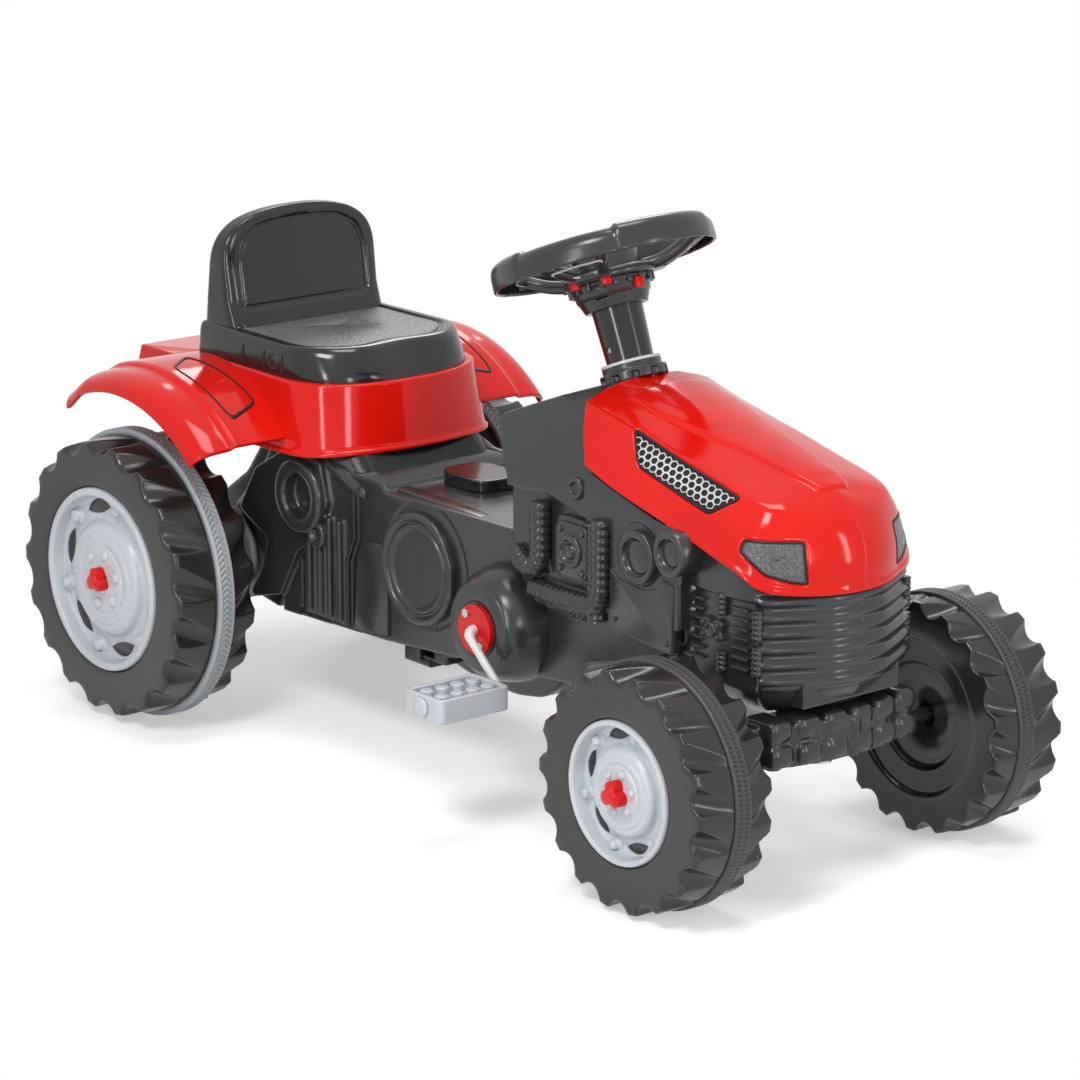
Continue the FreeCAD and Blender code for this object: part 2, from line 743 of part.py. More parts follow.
def under_lug():
    """The slotted foot below the round panel."""
    x = rear_axle_x + side_disc_reach - under_lug_length * under_lug_place_share
    top = chassis_z + chassis_height * under_lug_top_share
    low = top - under_lug_depth - chassis_height * under_lug_low_share
    start, end, inner, base, roof = UNDER_SLOT_SHARES
    lug_block = block(x, x + under_lug_length, -under_lug_width, 0, low, top)
    slot = block(x + under_lug_length * start, x + under_lug_length * end, -under_lug_width - overrun,
                 -under_lug_width * inner, low + under_lug_depth * base, low + under_lug_depth * roof)
    return lug_block.cut(slot)


def front_deck():
    """The carrier under the nose that holds the king bolt."""
    x_low = chassis_x + chassis_length - deck_length * deck_overlap_share
    x_high = x_low + deck_length
    half = deck_width / 2
    top = deck_z + deck_height
    shell = block(x_low, x_high, -half, 0, deck_z, top)
    hollow = block(x_low + moulded_wall, x_high - moulded_wall, moulded_wall - half, overrun,
                   deck_z - overrun, top - moulded_wall)
    boss = upright(king_boss_radius, king_x, 0, king_seat_z(), top)
    right = block(x_low, x_high, -half, 0, king_seat_z(), top)
    web = block(x_low + moulded_wall, x_high - moulded_wall, -king_boss_radius, moulded_wall - king_boss_radius,
                deck_z, top)
    return shell.cut(hollow).fuse([boss.common(right), web])


def king_seat_z():
    return beam_z + beam_height + free_gap


def chassis_half():
    """The chassis's right moulding with its holes."""
    solid = chassis_solid().fuse([under_lug()])
    shell = solid.cut(chassis_cavity())
    shell = joined([shell] + chassis_details() + [front_deck()])
    half = chassis_width / 2
    cuts = [across(crank_bush_barrel, crank_x, crank_z, -crank_boss_width, overrun),
            across(rear_bush_barrel, rear_axle_x, rear_axle_z, -half - overrun, overrun),
            upright(king_bolt_radius, king_x, 0, king_seat_z() - overrun, deck_z + deck_height + overrun),
            along_column(lower_bush_radius, bush_low(), bush_low() + lower_bush_length),
            along_column(shaft_radius + free_gap, -shaft_drop, 0)]
    cuts += king_head_room()
    return shell.cut(cuts)


def king_head_room():
    return [upright(king_head_radius, king_x, 0, deck_z + deck_height - king_head_height,
                    deck_z + deck_height + overrun)]


def chassis_shells():
    right = chassis_half()
    left = mirrored(right).cut(guard_opening())
    return {"chassis_right_shell": right.cut(crank_bush_screws()),
            "chassis_left_shell": left.cut(crank_bush_screws())}


# Pedal drive

def pitch_radius(teeth):
    return chain_pitch / (2 * math.sin(math.pi / teeth))


def guard_radius():
    return pitch_radius(crank_teeth) + chain_plate_height / 2 + guard_gap + guard_wall


def guard_opening():
    """Room in the chassis floor for the big sprocket and its guard."""
    return across(guard_radius() + free_gap, crank_x, crank_z, chain_offset - guard_width / 2 - free_gap,
                  chain_offset + guard_width / 2 + free_gap)


def chain_guard():
    """The dark trough under the big sprocket."""
    outer = guard_radius()
    low_y = chain_offset - guard_width / 2
    high_y = chain_offset + guard_width / 2
    trough = across(outer, crank_x, crank_z, low_y, high_y)
    trough = trough.cut(across(outer - guard_wall, crank_x, crank_z, low_y + guard_wall, high_y - guard_wall))
    floor = chassis_z + CHASSIS_SHARES[4][1] * chassis_height + moulded_wall * 2
    keep = block(crank_x - 2 * outer, crank_x + 2 * outer, low_y, high_y, crank_z - 2 * outer, floor)
    return trough.common(keep)


def sprocket(teeth, x, z):
    """A toothed plate with its hub, on the chain's plane."""
    radius = pitch_radius(teeth)
    root = radius - chain_roller_radius
    tip = radius + tooth_height
    points = []
    for i in range(teeth):
        for height_share, turn_share in TOOTH_SHARES:
            reach = root + (tip - root) * height_share
            turn = 2 * math.pi * (i + turn_share) / teeth
            points.append((x + reach * math.cos(turn), z + reach * math.sin(turn)))
    plate = side_prism(points, 0, chain_offset - sprocket_width / 2, chain_offset + sprocket_width / 2)
    hub = across(sprocket_hub_radius, x, z, chain_offset - sprocket_hub_width / 2,
                 chain_offset + sprocket_hub_width / 2)
    return plate.fuse(hub)


def crank_sprocket():
    return sprocket(crank_teeth, crank_x, crank_z).cut(
        across(crank_rod_radius, crank_x, crank_z, -crank_boss_width, crank_boss_width))


def rear_sprocket():
    return sprocket(rear_teeth, rear_axle_x, rear_axle_z).cut(
        across(axle_radius, rear_axle_x, rear_axle_z, -rear_track, rear_track))


def chain_geometry():
    """Ends and unit directions of the chain's two straight runs."""
    big = pitch_radius(crank_teeth)
    small = pitch_radius(rear_teeth)
    rear = Vector(rear_axle_x, chain_offset, rear_axle_z)
    front = Vector(crank_x, chain_offset, crank_z)
    gap = front - rear
    along = Vector(gap).normalize()
    lean = math.asin((big - small) / gap.Length)
    base = math.atan2(along.z, along.x)
    runs = []
    for side in (1, -1):
        turn = base + side * (math.pi / 2 + lean)
        normal = Vector(math.cos(turn), 0, math.sin(turn))
        runs.append((rear + normal * small, front + normal * big, normal))
    return runs, rear, front, small, big


def chain_loop(offset, y_low, y_high):
    """A closed slab that follows the chain's pitch line at a given offset."""
    runs, rear, front, small, big = chain_geometry()
    points = []
    for start, end, normal in runs:
        points.append((start + normal * offset, end + normal * offset))
    slab_points = [points[0][0], points[0][1], points[1][1], points[1][0]]
    flat = side_prism([(p.x, p.z) for p in slab_points], 0, y_low, y_high)
    ends = [across(small + offset, rear.x, rear.z, y_low, y_high),
            across(big + offset, front.x, front.z, y_low, y_high)]
    return flat.fuse(ends).removeSplitter()


def drive_chain():
    """Chain plates all round, with rollers along the two straight runs."""
    gap = sprocket_width / 2 + free_gap
    half = chain_plate_height / 2
    solids = []
    for low in (chain_offset - gap - chain_plate, chain_offset + gap):
        ring = chain_loop(half, low, low + chain_plate).cut(
            chain_loop(-half, low - overrun, low + chain_plate + overrun))
        solids.append(ring)
    runs, rear, front, small, big = chain_geometry()
    for start, end, normal in runs:
        way = end - start
        count = int(way.Length / chain_pitch)
        for i in range(3, count - 2):
            spot = start + way * (i / count)
            solids.append(across(chain_roller_radius, spot.x, spot.z, chain_offset - gap - chain_plate,
                                 chain_offset + gap + chain_plate))
    return joined(solids)


def crank_direction(side):
    turn = math.radians(crank_angle)
    return Vector(side * math.cos(turn), 0, side * math.sin(turn))


def crank_rod():
    """The bent crank: one round bar from pedal to pedal."""
    arm = crank_direction(1) * crank_throw
    axis = Vector(crank_x, 0, crank_z)
    end = pedal_inner() + pedal_width + push_nut_width + 4 * free_gap
    spots = [axis + arm - Vector(0, end, 0), axis + arm - Vector(0, crank_arm_offset, 0),
             axis - Vector(0, crank_arm_offset, 0), axis + Vector(0, crank_arm_offset, 0),
             axis - arm + Vector(0, crank_arm_offset, 0), axis - arm + Vector(0, end, 0)]
    path = bent_path(spots, crank_bend)
    start_way = (spots[1] - spots[0]).normalize()
    ring = Part.Wire(Part.makeCircle(crank_rod_radius, spots[0], start_way))
    return path.makePipeShell([ring], True, False)


def bent_path(spots, bend):
    """Straight runs joined by tangent arcs of one bend radius, for right-angle corners."""
    edges = []
    last = spots[0]
    for i in range(1, len(spots) - 1):
        back = (spots[i - 1] - spots[i]).normalize()
        onward = (spots[i + 1] - spots[i]).normalize()
        first = spots[i] + back * bend
        second = spots[i] + onward * bend
        centre = spots[i] + back * bend + onward * bend
        middle = centre + (spots[i] - centre).normalize() * bend
        edges.append(Part.LineSegment(last, first).toShape())
        edges.append(Part.Arc(first, middle, second).toShape())
        last = second
    edges.append(Part.LineSegment(last, spots[-1]).toShape())
    return Part.Wire(edges)


def crank_bush():
    """The red flanged bush in the chassis's right boss."""
    face_y = -crank_boss_width / 2
    flange = across(crank_bush_radius, crank_x, crank_z, face_y - crank_bush_flange, face_y)
    barrel = across(crank_bush_barrel, crank_x, crank_z, face_y, face_y + 4 * crank_bush_flange)
    bore = across(crank_rod_radius + running_gap, crank_x, crank_z, -crank_boss_width, 0)
    return flange.fuse(barrel).cut([bore, crank_bush_screws()])


def pedal_inner():
    """Distance of a pedal's inner end from the middle plane."""
    return crank_arm_offset + crank_bend + free_gap


def pedal(side):
    """A block pedal with a studded tray, free to turn on the crank; side 1 is the right pedal."""
    arm = crank_direction(side) * crank_throw
    x = crank_x + arm.x
    z = crank_z + arm.z
    near = -pedal_inner()
    low = near - pedal_width
    base = plan_prism([(x - pedal_length / 2, low), (x + pedal_length / 2, low), (x + pedal_length / 2, near),
                       (x - pedal_length / 2, near)], pedal_corner, z - pedal_height / 2, z + pedal_height / 2)
    edge = pedal_border
    tray = block(x - pedal_length / 2 + edge, x + pedal_length / 2 - edge, low + edge, near - edge,
                 z + pedal_height / 2 - pedal_tray, z + pedal_height / 2 + overrun)
    studs = []
    for row in (-1, 1):
        for i in range(pedal_stud_count):
            spot_x = x + row * (pedal_length / 2 - edge) / 2
            spot_y = low + edge + (pedal_width - 2 * edge) * (i + 0.5) / pedal_stud_count
            studs.append(upright(pedal_stud_radius, spot_x, spot_y, z, z + pedal_height / 2))
    bore = across(crank_rod_radius + running_gap, x, z, low - overrun, near + overrun)
    shape = base.cut(tray).fuse(studs).cut(bore)
    return shape if side > 0 else mirrored(shape)


def push_nuts():
    """Retaining caps on the ends of the pedal axles."""
    nuts = []
    for side in (1, -1):
        arm = crank_direction(side) * crank_throw
        near = pedal_inner() + pedal_width + free_gap
        nut = across(push_nut_radius, crank_x + arm.x, crank_z + arm.z, -near - push_nut_width, -near)
        nut = nut.cut(across(crank_rod_radius, crank_x + arm.x, crank_z + arm.z, -2 * near, 0))
        nuts.append(nut if side > 0 else mirrored(nut))
    return Part.Compound(nuts)


def rear_axle():
    end = rear_track / 2 + rear_wheel_width / 2 - rim_depth / 4
    return across(axle_radius, rear_axle_x, rear_axle_z, -end, end)


def rear_bush_face():
    return tail_width / 2 + rear_bush_flange + rear_spacer_length


def rear_axle_bushes():
    """Flanged bushes, one in each side of the tail, each with a spacer that keeps the wheel out."""
    face = -tail_width / 2
    bush = across(rear_bush_flange_radius, rear_axle_x, rear_axle_z, face - rear_bush_flange, face)
    barrel = across(rear_bush_barrel, rear_axle_x, rear_axle_z, face, face + 4 * moulded_wall)
    spacer = across(rear_bush_barrel, rear_axle_x, rear_axle_z, -rear_bush_face(), face)
    bore = across(axle_radius + running_gap, rear_axle_x, rear_axle_z, -rear_track, 0)
    bush = bush.fuse([barrel, spacer]).cut(bore)
    return Part.Compound([bush, mirrored(bush)])


# Engine cowl

def cowl_outline():
    return scaled(COWL_SHARES, (cowl_x, cowl_z), (cowl_length, cowl_height))


def cowl_form(inset):
    """The engine block's right half drawn in by an inset, with sides that lean in towards the dash."""
    face = Part.Face(rounded_wire(cowl_outline(), cowl_corner, side_lift(-cowl_width)))
    if inset:
        face = face.makeOffset2D(-inset)
    side = face.extrude(Vector(0, 2 * cowl_width, 0))
    half = cowl_width / 2
    section = scaled(COWL_SECTION_SHARES, (0, cowl_z - inset), (inset - half, cowl_height))
    section = section + [(overrun if inset else 0, section[-1][1]), (overrun if inset else 0, section[0][1])]
    wire = plain_wire(section[:-3] + section[-2:], front_lift(cowl_x - overrun))
    return side.common(Part.Face(wire).extrude(Vector(cowl_length + 2 * overrun, 0, 0)))


def nose_outline(inset):
    half = nose_width / 2 - inset
    points = scaled(NOSE_PLAN_SHARES, (nose_x, 0), (nose_length - inset, -half))
    return [(nose_x, 0)] + points


def nose_solid(inset):
    """The ribbed nose's right half: a ruled loft through alternately drawn-in plan outlines."""
    wires = []
    sections = 2 * nose_rib_count + 1
    for i in range(sections):
        depth = 0.0 if i % 2 else nose_rib_depth
        level = nose_z + nose_height * nose_loft_share * i / (sections - 1)
        wires.append(plain_wire(nose_outline(inset + depth), plan_lift(level)))
    loft = Part.makeLoft(wires, True, True)
    top = scaled(NOSE_TOP_SHARES, (nose_x, nose_z), (nose_length, nose_height))
    return loft.common(side_prism(top, 0, -nose_width, overrun))


def cowl_half():
    """The right cowl moulding: engine side, dash and ribbed nose."""
    inner_nose = nose_solid(moulded_wall)
    shell = cowl_form(0.0).fuse(nose_solid(0.0)).cut([cowl_form(moulded_wall), inner_nose])
    shell = joined([shell] + cowl_details())
    floor = block(cowl_x + moulded_wall, cowl_x + cowl_length, -chassis_width / 2, overrun,
                  cowl_z - overrun, cowl_z + cowl_height * cowl_floor_share)
    cuts = [chassis_solid(), floor, deck_room(), screw_recess(), wheel_room(), hood_form(0.0),
            along_column(column_radius_high + free_gap, -collar_height, collar_height + overrun),
            along_column(collar_radius, 0, 4 * collar_height),
            along_column(shaft_radius + free_gap, -shaft_drop, 0)]
    return shell.cut(cuts)


def deck_room():
    x_low = chassis_x + chassis_length - deck_length * deck_overlap_share
    return block(x_low, x_low + deck_length, -deck_width / 2, overrun, king_seat_z(), deck_z + deck_height)


def wheel_room():
    """Clearance for the front tyre below the cowl's edge."""
    reach = front_wheel_radius + 4 * overrun
    inner = front_track / 2 - front_wheel_width / 2 - 8 * overrun
    return across(reach, front_axle_x, front_axle_z, -cowl_width, -inner)


def screw_recess():
    x = cowl_x + cowl_screw_shares[0] * cowl_length
    z = cowl_z + cowl_screw_shares[1] * cowl_height
    return across(cowl_screw_radius, x, z, -cowl_width / 2 - overrun, -cowl_width / 2 + moulded_wall / 2)


def ribbed_hose(start, end):
    """A straight hose with raised rings between two points."""
    way = end - start
    hose = [disc(hose_radius, way.Length, start, way)]
    count = int(way.Length / hose_pitch)
    unit = Vector(way).normalize()
    for i in range(count):
        spot = start + unit * (hose_pitch * (i + 0.25))
        hose.append(disc(hose_radius + hose_rib, hose_pitch / 2, spot, way))
    return joined(hose)


def cowl_details():
    """Moulded machinery on the cowl's side: discs, pump, hoses and a flange."""
    half = cowl_width / 2
    details = []
    for i, (a, b) in enumerate(ROUND_DISC_SHARES):
        x = cowl_x + a * cowl_length
        z = cowl_z + b * cowl_height
        relief = round_disc_relief * (1 + i)
        ring = across(round_disc_radius, x, z, -half - relief, moulded_wall - half)
        details.append(ring.cut(across(round_disc_radius * round_disc_bore_share, x, z, -half - relief - overrun,
                                       -half - relief * round_disc_floor_share)))
    x = cowl_x + pump_shares[0] * cowl_length
    z = cowl_z + pump_shares[1] * cowl_height
    plate = [(x - pump_plate_width / 2, z - pump_plate_height / 2), (x + pump_plate_width / 2,
             z - pump_plate_height / 2), (x + pump_plate_width / 2, z + pump_plate_height / 2),
             (x - pump_plate_width / 2, z + pump_plate_height / 2)]
    details.append(side_prism(plate, cowl_corner, -half - pump_plate_relief, moulded_wall / 2 - half))
    details.append(across(pump_plate_width * pump_boss_share, x, z, -half - 2 * pump_plate_relief, -half))
    hose_y = -half - hose_radius * hose_sink_share
    left = cowl_x + hose_left_share * cowl_length
    right = cowl_x + hose_right_share * cowl_length
    top = cowl_z + hose_top_share * cowl_height
    foot = cowl_z + hose_foot_share * cowl_height
    low = cowl_z + hose_rise_share * cowl_height
    details.append(ribbed_hose(Vector(left, hose_y, low), Vector(left, hose_y, top)))
    details.append(ribbed_hose(Vector(right, hose_y, foot), Vector(right, hose_y, top)))
    details.append(ribbed_hose(Vector(left, hose_y, foot + hose_radius), Vector(right, hose_y, foot + hose_radius)))
    outside = block(cowl_x, cowl_x + cowl_length, -cowl_width, moulded_wall - half, cowl_z - hose_radius,
                    cowl_z + cowl_height)
    details = [detail.common(outside) for detail in details]
    nose_y = -nose_width / 2
    fx = nose_x + flange_shares[0] * nose_length
    fz = nose_z + flange_shares[1] * nose_height
    details.append(across(flange_radius, fx, fz, nose_y - flange_relief, nose_y + nose_rib_depth + moulded_wall))
    return details


def cowl_shells():
    right = cowl_half()
    return {"engine_cowl_right": right, "engine_cowl_left": mirrored(right)}


# Hood

def hood_form(inset):
    """The hood's outer form drawn in by an inset: a ruled loft through its cross-sections."""
    half = hood_width / 2 - inset
    length = hood_length - inset
    wires = []
    for x_share, points in HOOD_STATION_SHARES:
        row = scaled(points, (0, hood_z - inset), (half, hood_height))
        if inset:
            row[0] = (row[0][0], row[0][1] - overrun)
        ring = row + [(-y, z) for y, z in reversed(row[:-1])]
        wires.append(plain_wire(ring, front_lift(hood_x + x_share * length)))
    loft = Part.makeLoft(wires, True, True)
    size = (hood_length, hood_height)
    back = side_prism(scaled(HOOD_BACK_SHARES, (hood_x, hood_z), size), 0, -hood_width, hood_width)
    return loft.cut(back)


def vent_prism():
    points = scaled(VENT_SHARES, (hood_x, hood_z), (hood_length, hood_height))
    return side_prism(points, hood_corner_small, -hood_width, -hood_wall)


def headlight_prism():
    points = scaled(HEADLIGHT_SHARES, (0, hood_z), (-hood_width / 2, hood_height))
    wire = rounded_wire(points, hood_corner_small, front_lift(hood_x + headlight_reach_share * hood_length))
    return Part.Face(wire).extrude(Vector(hood_length, 0, 0))


def hood_parts():
    """The hood with the vents and headlights let into it."""
    shell = hood_form(0.0).cut(hood_form(hood_wall))
    pieces = {}
    cuts = []
    for name, prism, inset in (("hood_vent", vent_prism(), vent_inset),
                               ("headlight", headlight_prism(), headlight_inset)):
        sunk = hood_form(inset).cut(hood_form(hood_wall))
        panel = sunk.common(prism)
        pieces[name + "_right"] = panel
        pieces[name + "_left"] = mirrored(panel)
        cuts += [prism, mirrored(prism)]
    cuts.append(along_column(collar_radius + free_gap, -2 * collar_height, 4 * collar_height))
    pieces["hood"] = shell.cut(cuts)
    return pieces


# Rear body and seat

def body_form(inset):
    """The tub's outer form drawn in by an inset."""
    half = body_width / 2 - inset
    length = body_length - 2 * inset
    wires = []
    for shares, level in ((BODY_LOW_SHARES, body_z), (BODY_HIGH_SHARES, body_top_z)):
        points = both_sides(scaled(shares, (body_x + inset, 0), (length, half)))
        wires.append(rounded_wire(points, body_corner, plan_lift(level)))
    tub = Part.makeLoft(wires, True, True)
    side = scaled(BODY_SIDE_SHARES, (body_x, body_z - overrun), (body_length, body_height + overrun - inset))
    return tub.common(side_prism(side, 0, -body_width, body_width))


def fender():
    """The right fender: an arched blade swept about the rear axle."""
    reach = fender_width - fender_root
    top = [(-fender_root - reach * a, fender_radius + fender_crown * b) for a, b in FENDER_SECTION_SHARES]
    under = [(y + (fender_thickness if b == 0 else 0), r - fender_thickness)
             for (y, r), (a, b) in zip(top, FENDER_SECTION_SHARES)]
    ring = top[:-1] + list(reversed(under[:-1]))
    face = Part.Face(plain_wire(ring, lambda a, b: Vector(rear_axle_x + b, a, rear_axle_z)))
    centre = Vector(rear_axle_x, 0, rear_axle_z)
    face.rotate(centre, Vector(0, -1, 0), fender_front_angle)
    return face.revolve(centre, Vector(0, -1, 0), fender_rear_angle - fender_front_angle)


def rear_body():
    """The red tub that carries the seat, with a fender on each side."""
    blade = fender()
    tub = body_form(0.0)
    hollow = body_form(body_wall)
    shell = tub.fuse([blade, mirrored(blade)]).cut(hollow)
    ribs = []
    support = chassis_z + chassis_height
    for share in BODY_RIB_SHARES:
        x = body_x + share * body_length
        half = chassis_width / 2 - 3 * moulded_wall
        ribs.append(block(x - body_rib / 2, x + body_rib / 2, -half, half, support, body_top_z - body_wall / 2))
    return joined([shell] + ribs).cut([chassis_solid(), mirrored(chassis_solid())])


def seat_outline(share):
    half = seat_width / 2 * share
    centre = seat_x + seat_length / 2
    length = seat_length * share
    return both_sides(scaled(SEAT_SHARES, (centre - length / 2, 0), (length, half)))


def seat():
    """The one-piece seat: hollow base, sunk top panel and backrest."""
    top = seat_z + seat_height
    base_wires = [rounded_wire(seat_outline(1.0), seat_corner, plan_lift(seat_z)),
                  rounded_wire(seat_outline(seat_taper_share), seat_corner, plan_lift(top))]
    base = Part.makeLoft(base_wires, True, True)
    inner = 1 - 2 * seat_wall / seat_width
    hollow = plan_prism(seat_outline(inner * seat_taper_share), seat_corner, seat_z - overrun, top - 2 * seat_wall)
    side = scaled(BACKREST_SHARES, (seat_x, seat_z), (backrest_depth, backrest_height))
    front = scaled(BACKREST_FRONT_SHARES, (0, seat_z), (backrest_width / 2, backrest_height))
    front = front + [(-a, b) for a, b in reversed(front)]
    face = Part.Face(rounded_wire(front, backrest_corner, front_lift(seat_x)))
    back = face.extrude(Vector(backrest_depth, 0, 0)).common(
        side_prism(side, seat_wall, -seat_width, seat_width))
    panel = plan_prism(seat_outline(seat_panel_share), seat_corner, top - seat_panel_depth, top + overrun)
    panel = panel.cut(block(seat_x - overrun, seat_x + backrest_depth, -seat_width, seat_width, seat_z,
                            top + 2 * overrun))
    return joined([base, back]).cut([hollow, panel])


def tow_hitch():
    """A flat tow plate behind the rear axle, with an upright pin hole."""
    x_high = chassis_x
    x_low = x_high - hitch_length
    half = hitch_width / 2
    z = rear_axle_z
    plate = plan_prism([(x_low, -half), (x_high, -half), (x_high, half), (x_low, half)], hitch_width / 4,
                       z, z + hitch_thickness)
    hole = upright(hitch_hole_radius, x_low + half, 0, z - overrun, z + hitch_thickness + overrun)
    return plate.cut(hole)


def tunnel_cap():
    x = rear_axle_x + tunnel_cap_reach
    half = tunnel_cap_width / 2
    z = chassis_z + CHASSIS_SHARES[10][1] * chassis_height
    cap = plan_prism([(x - tunnel_cap_length / 2, -half), (x + tunnel_cap_length / 2, -half),
                      (x + tunnel_cap_length / 2, half), (x - tunnel_cap_length / 2, half)],
                     half * tunnel_cap_corner_share, z, z + tunnel_cap_height + moulded_wall)
    return cap.cut([chassis_solid(), mirrored(chassis_solid())])


# Steering, built along the column: height is measured from the dash

def on_column(shape):
    """Tilt a piece built about the upright Z axis onto the column's place."""
    placed = shape.copy()
    placed.rotate(Vector(0, 0, 0), Vector(0, 1, 0), -column_tilt)
    placed.translate(Vector(dash_x, 0, dash_z))
    return placed


def along_column(radius, low, high):
    return on_column(upright(radius, 0, 0, low, high))


def bush_low():
    return lower_bush_length / 3 - shaft_drop


def column_tube():
    height = column_top + column_foot
    tube = Part.makeCone(column_radius_low, column_radius_high, height, Vector(0, 0, -column_foot))
    bore = Part.makeCone(column_radius_low - column_wall, column_radius_high - column_wall, height,
                         Vector(0, 0, -column_foot))
    seat_plug = upright(column_radius_high - column_wall, 0, 0, column_top - 4 * column_wall, column_top)
    bolt = disc(column_bolt_radius, 4 * column_radius_high, Vector(0, -2 * column_radius_high, column_bolt_rise),
                Vector(0, 1, 0))
    tube = tube.cut(bore).fuse(seat_plug).cut([upright(shaft_radius, 0, 0, -column_foot - overrun,
                                                       column_top + overrun), bolt])
    return on_column(tube)


def column_bolt():
    length = 2 * column_radius_low
    bolt = disc(column_bolt_radius, length, Vector(0, -length / 2, column_bolt_rise), Vector(0, 1, 0))
    return on_column(bolt)


def steering_shaft():
    """The steel rod inside the column, with its crank and pin at the foot."""
    rod = upright(shaft_radius, 0, 0, -shaft_drop - steering_crank_width / 2, shaft_top)
    half = steering_crank_width / 2
    arm = block(-steering_crank, 0, -half, half, -shaft_drop - half, -shaft_drop + half)
    arm = arm.fuse([upright(half, -steering_crank, 0, -shaft_drop - half, -shaft_drop + half),
                    upright(half, 0, 0, -shaft_drop - half, -shaft_drop + half)])
    pin = upright(steering_pin_radius, -steering_crank, 0, -shaft_drop - half - steering_pin_length, -shaft_drop)
    bolt = disc(column_bolt_radius, 4 * shaft_radius, Vector(0, -2 * shaft_radius, column_bolt_rise),
                Vector(0, 1, 0))
    return on_column(joined([rod, arm, pin]).cut(bolt))


def steering_lower_bush():
    low = bush_low()
    bush = upright(lower_bush_radius, 0, 0, low, low + lower_bush_length)
    return on_column(bush.cut(upright(shaft_radius + running_gap, 0, 0, low - overrun,
                                      low + lower_bush_length + overrun)))


def column_collar():
    """The castellated flange on the dash that the column turns in."""
    flange = upright(collar_radius, 0, 0, 0, collar_height)
    neck = upright(collar_neck_radius, 0, 0, collar_height, collar_neck_height)
    notches = []
    for i in range(collar_notch_count):
        turn = 2 * math.pi * i / collar_notch_count
        notches.append(upright(collar_radius * collar_notch_share, collar_radius * math.cos(turn),
                               collar_radius * math.sin(turn), -overrun, collar_height * collar_notch_rise_share))
    bore = upright(column_radius_high + free_gap, 0, 0, -overrun, collar_neck_height + overrun)
    return on_column(flange.fuse(neck).cut(notches + [bore]))


def column_ring():
    ring = upright(collar_neck_radius, 0, 0, collar_neck_height, collar_neck_height + ring_height)
    bore = upright(column_radius_high + free_gap, 0, 0, 0, 2 * collar_neck_height)
    return on_column(ring.cut(bore))


def steering_hub():
    """The flared collar between column and wheel, with windows for the horn clips."""
    cone = Part.makeCone(hub_radius_low, hub_radius_high, hub_high - hub_low, Vector(0, 0, hub_low))
    bore = upright(column_radius_high, 0, 0, hub_low - overrun, column_top)
    well = upright(hub_radius_low - column_wall, 0, 0, column_top + column_wall, hub_high + overrun)
    windows = []
    for i in range(spoke_count):
        turn = 360 * (i + 0.5) / spoke_count
        half = hub_low * hub_window_share
        window = block(hub_radius_low * hub_window_inner_share, hub_radius_high + overrun, -half, half,
                       hub_high - column_wall * 5, hub_high - column_wall)
        window.rotate(Vector(0, 0, 0), Vector(0, 0, 1), turn)
        windows.append(window)
    stem = upright(shaft_radius + 2 * column_wall, 0, 0, column_top, hub_high)
    hub = cone.cut([well]).fuse(stem).cut([bore] + windows + [upright(shaft_radius, 0, 0, hub_low, hub_high
                                                                      + overrun)])
    return on_column(hub)


def steering_wheel():
    """The wheel: a deep hollow rim, flat spokes and a centre plate with the horn's well."""
    outer = steering_wheel_radius
    inner = outer - steering_rim_width
    low = wheel_rise - steering_rim_height / 2
    high = wheel_rise + steering_rim_height / 2
    edge = steering_rim_width * steering_edge_share
    profile = [(inner, low + edge), (inner, high - edge), (inner + edge, high), (outer - edge, high),
               (outer, high - edge), (outer, low), (outer - column_wall, low),
               (outer - column_wall, high - edge - column_wall), (inner + column_wall, high - edge - column_wall),
               (inner + column_wall, low + edge)]
    face = Part.Face(plain_wire(profile, side_lift(0)))
    rim = face.revolve(Vector(0, 0, 0), Vector(0, 0, 1), 360)
    plate = upright(wheel_plate_radius, 0, 0, hub_high, hub_high + spoke_thickness)
    well = upright(horn_radius + free_gap + horn_well_wall, 0, 0, hub_high, horn_base() + horn_travel * 2)
    well = well.cut(upright(horn_radius + free_gap, 0, 0, hub_high + spoke_thickness, wheel_rise * 2))
    spokes = []
    for i in range(spoke_count):
        spoke = block(0, inner + column_wall, -spoke_width / 2, spoke_width / 2, hub_high,
                      hub_high + spoke_thickness)
        riser = block(inner - spoke_thickness, inner + column_wall, -spoke_width / 2, spoke_width / 2, hub_high,
                      wheel_rise)
        spoke = spoke.fuse(riser)
        spoke.rotate(Vector(0, 0, 0), Vector(0, 0, 1), 180 + 360 * i / spoke_count)
        spokes.append(spoke)
    shaft_hole = upright(shaft_radius, 0, 0, 0, shaft_top)
    clear = upright(horn_radius + free_gap, 0, 0, hub_high + spoke_thickness, wheel_rise * 2)
    return on_column(joined([rim, plate, well] + spokes).cut([shaft_hole, clear]))


def horn_base():
    return hub_high + spoke_thickness + 2 * horn_travel


def horn_button():
    """The round horn button in the middle of the wheel; it slides down the column."""
    low = horn_base()
    button = upright(horn_radius, 0, 0, low, low + horn_height)
    edge = [button.Edges[i] for i in range(len(button.Edges)) if button.Edges[i].BoundBox.ZMin > low]
    button = button.makeFillet(horn_height / 3, edge)
    stem = upright(horn_stem_radius, 0, 0, low - horn_travel + free_gap, low)
    return on_column(button.fuse(stem))


def horn_spring():
    """A plain sleeve that stands for the horn's return spring."""
    low = hub_high + spoke_thickness
    inner = horn_stem_radius + free_gap
    sleeve = upright(inner + spring_wall, 0, 0, low, horn_base())
    return on_column(sleeve.cut(upright(inner, 0, 0, low - overrun, horn_base() + overrun)))


# Front axle

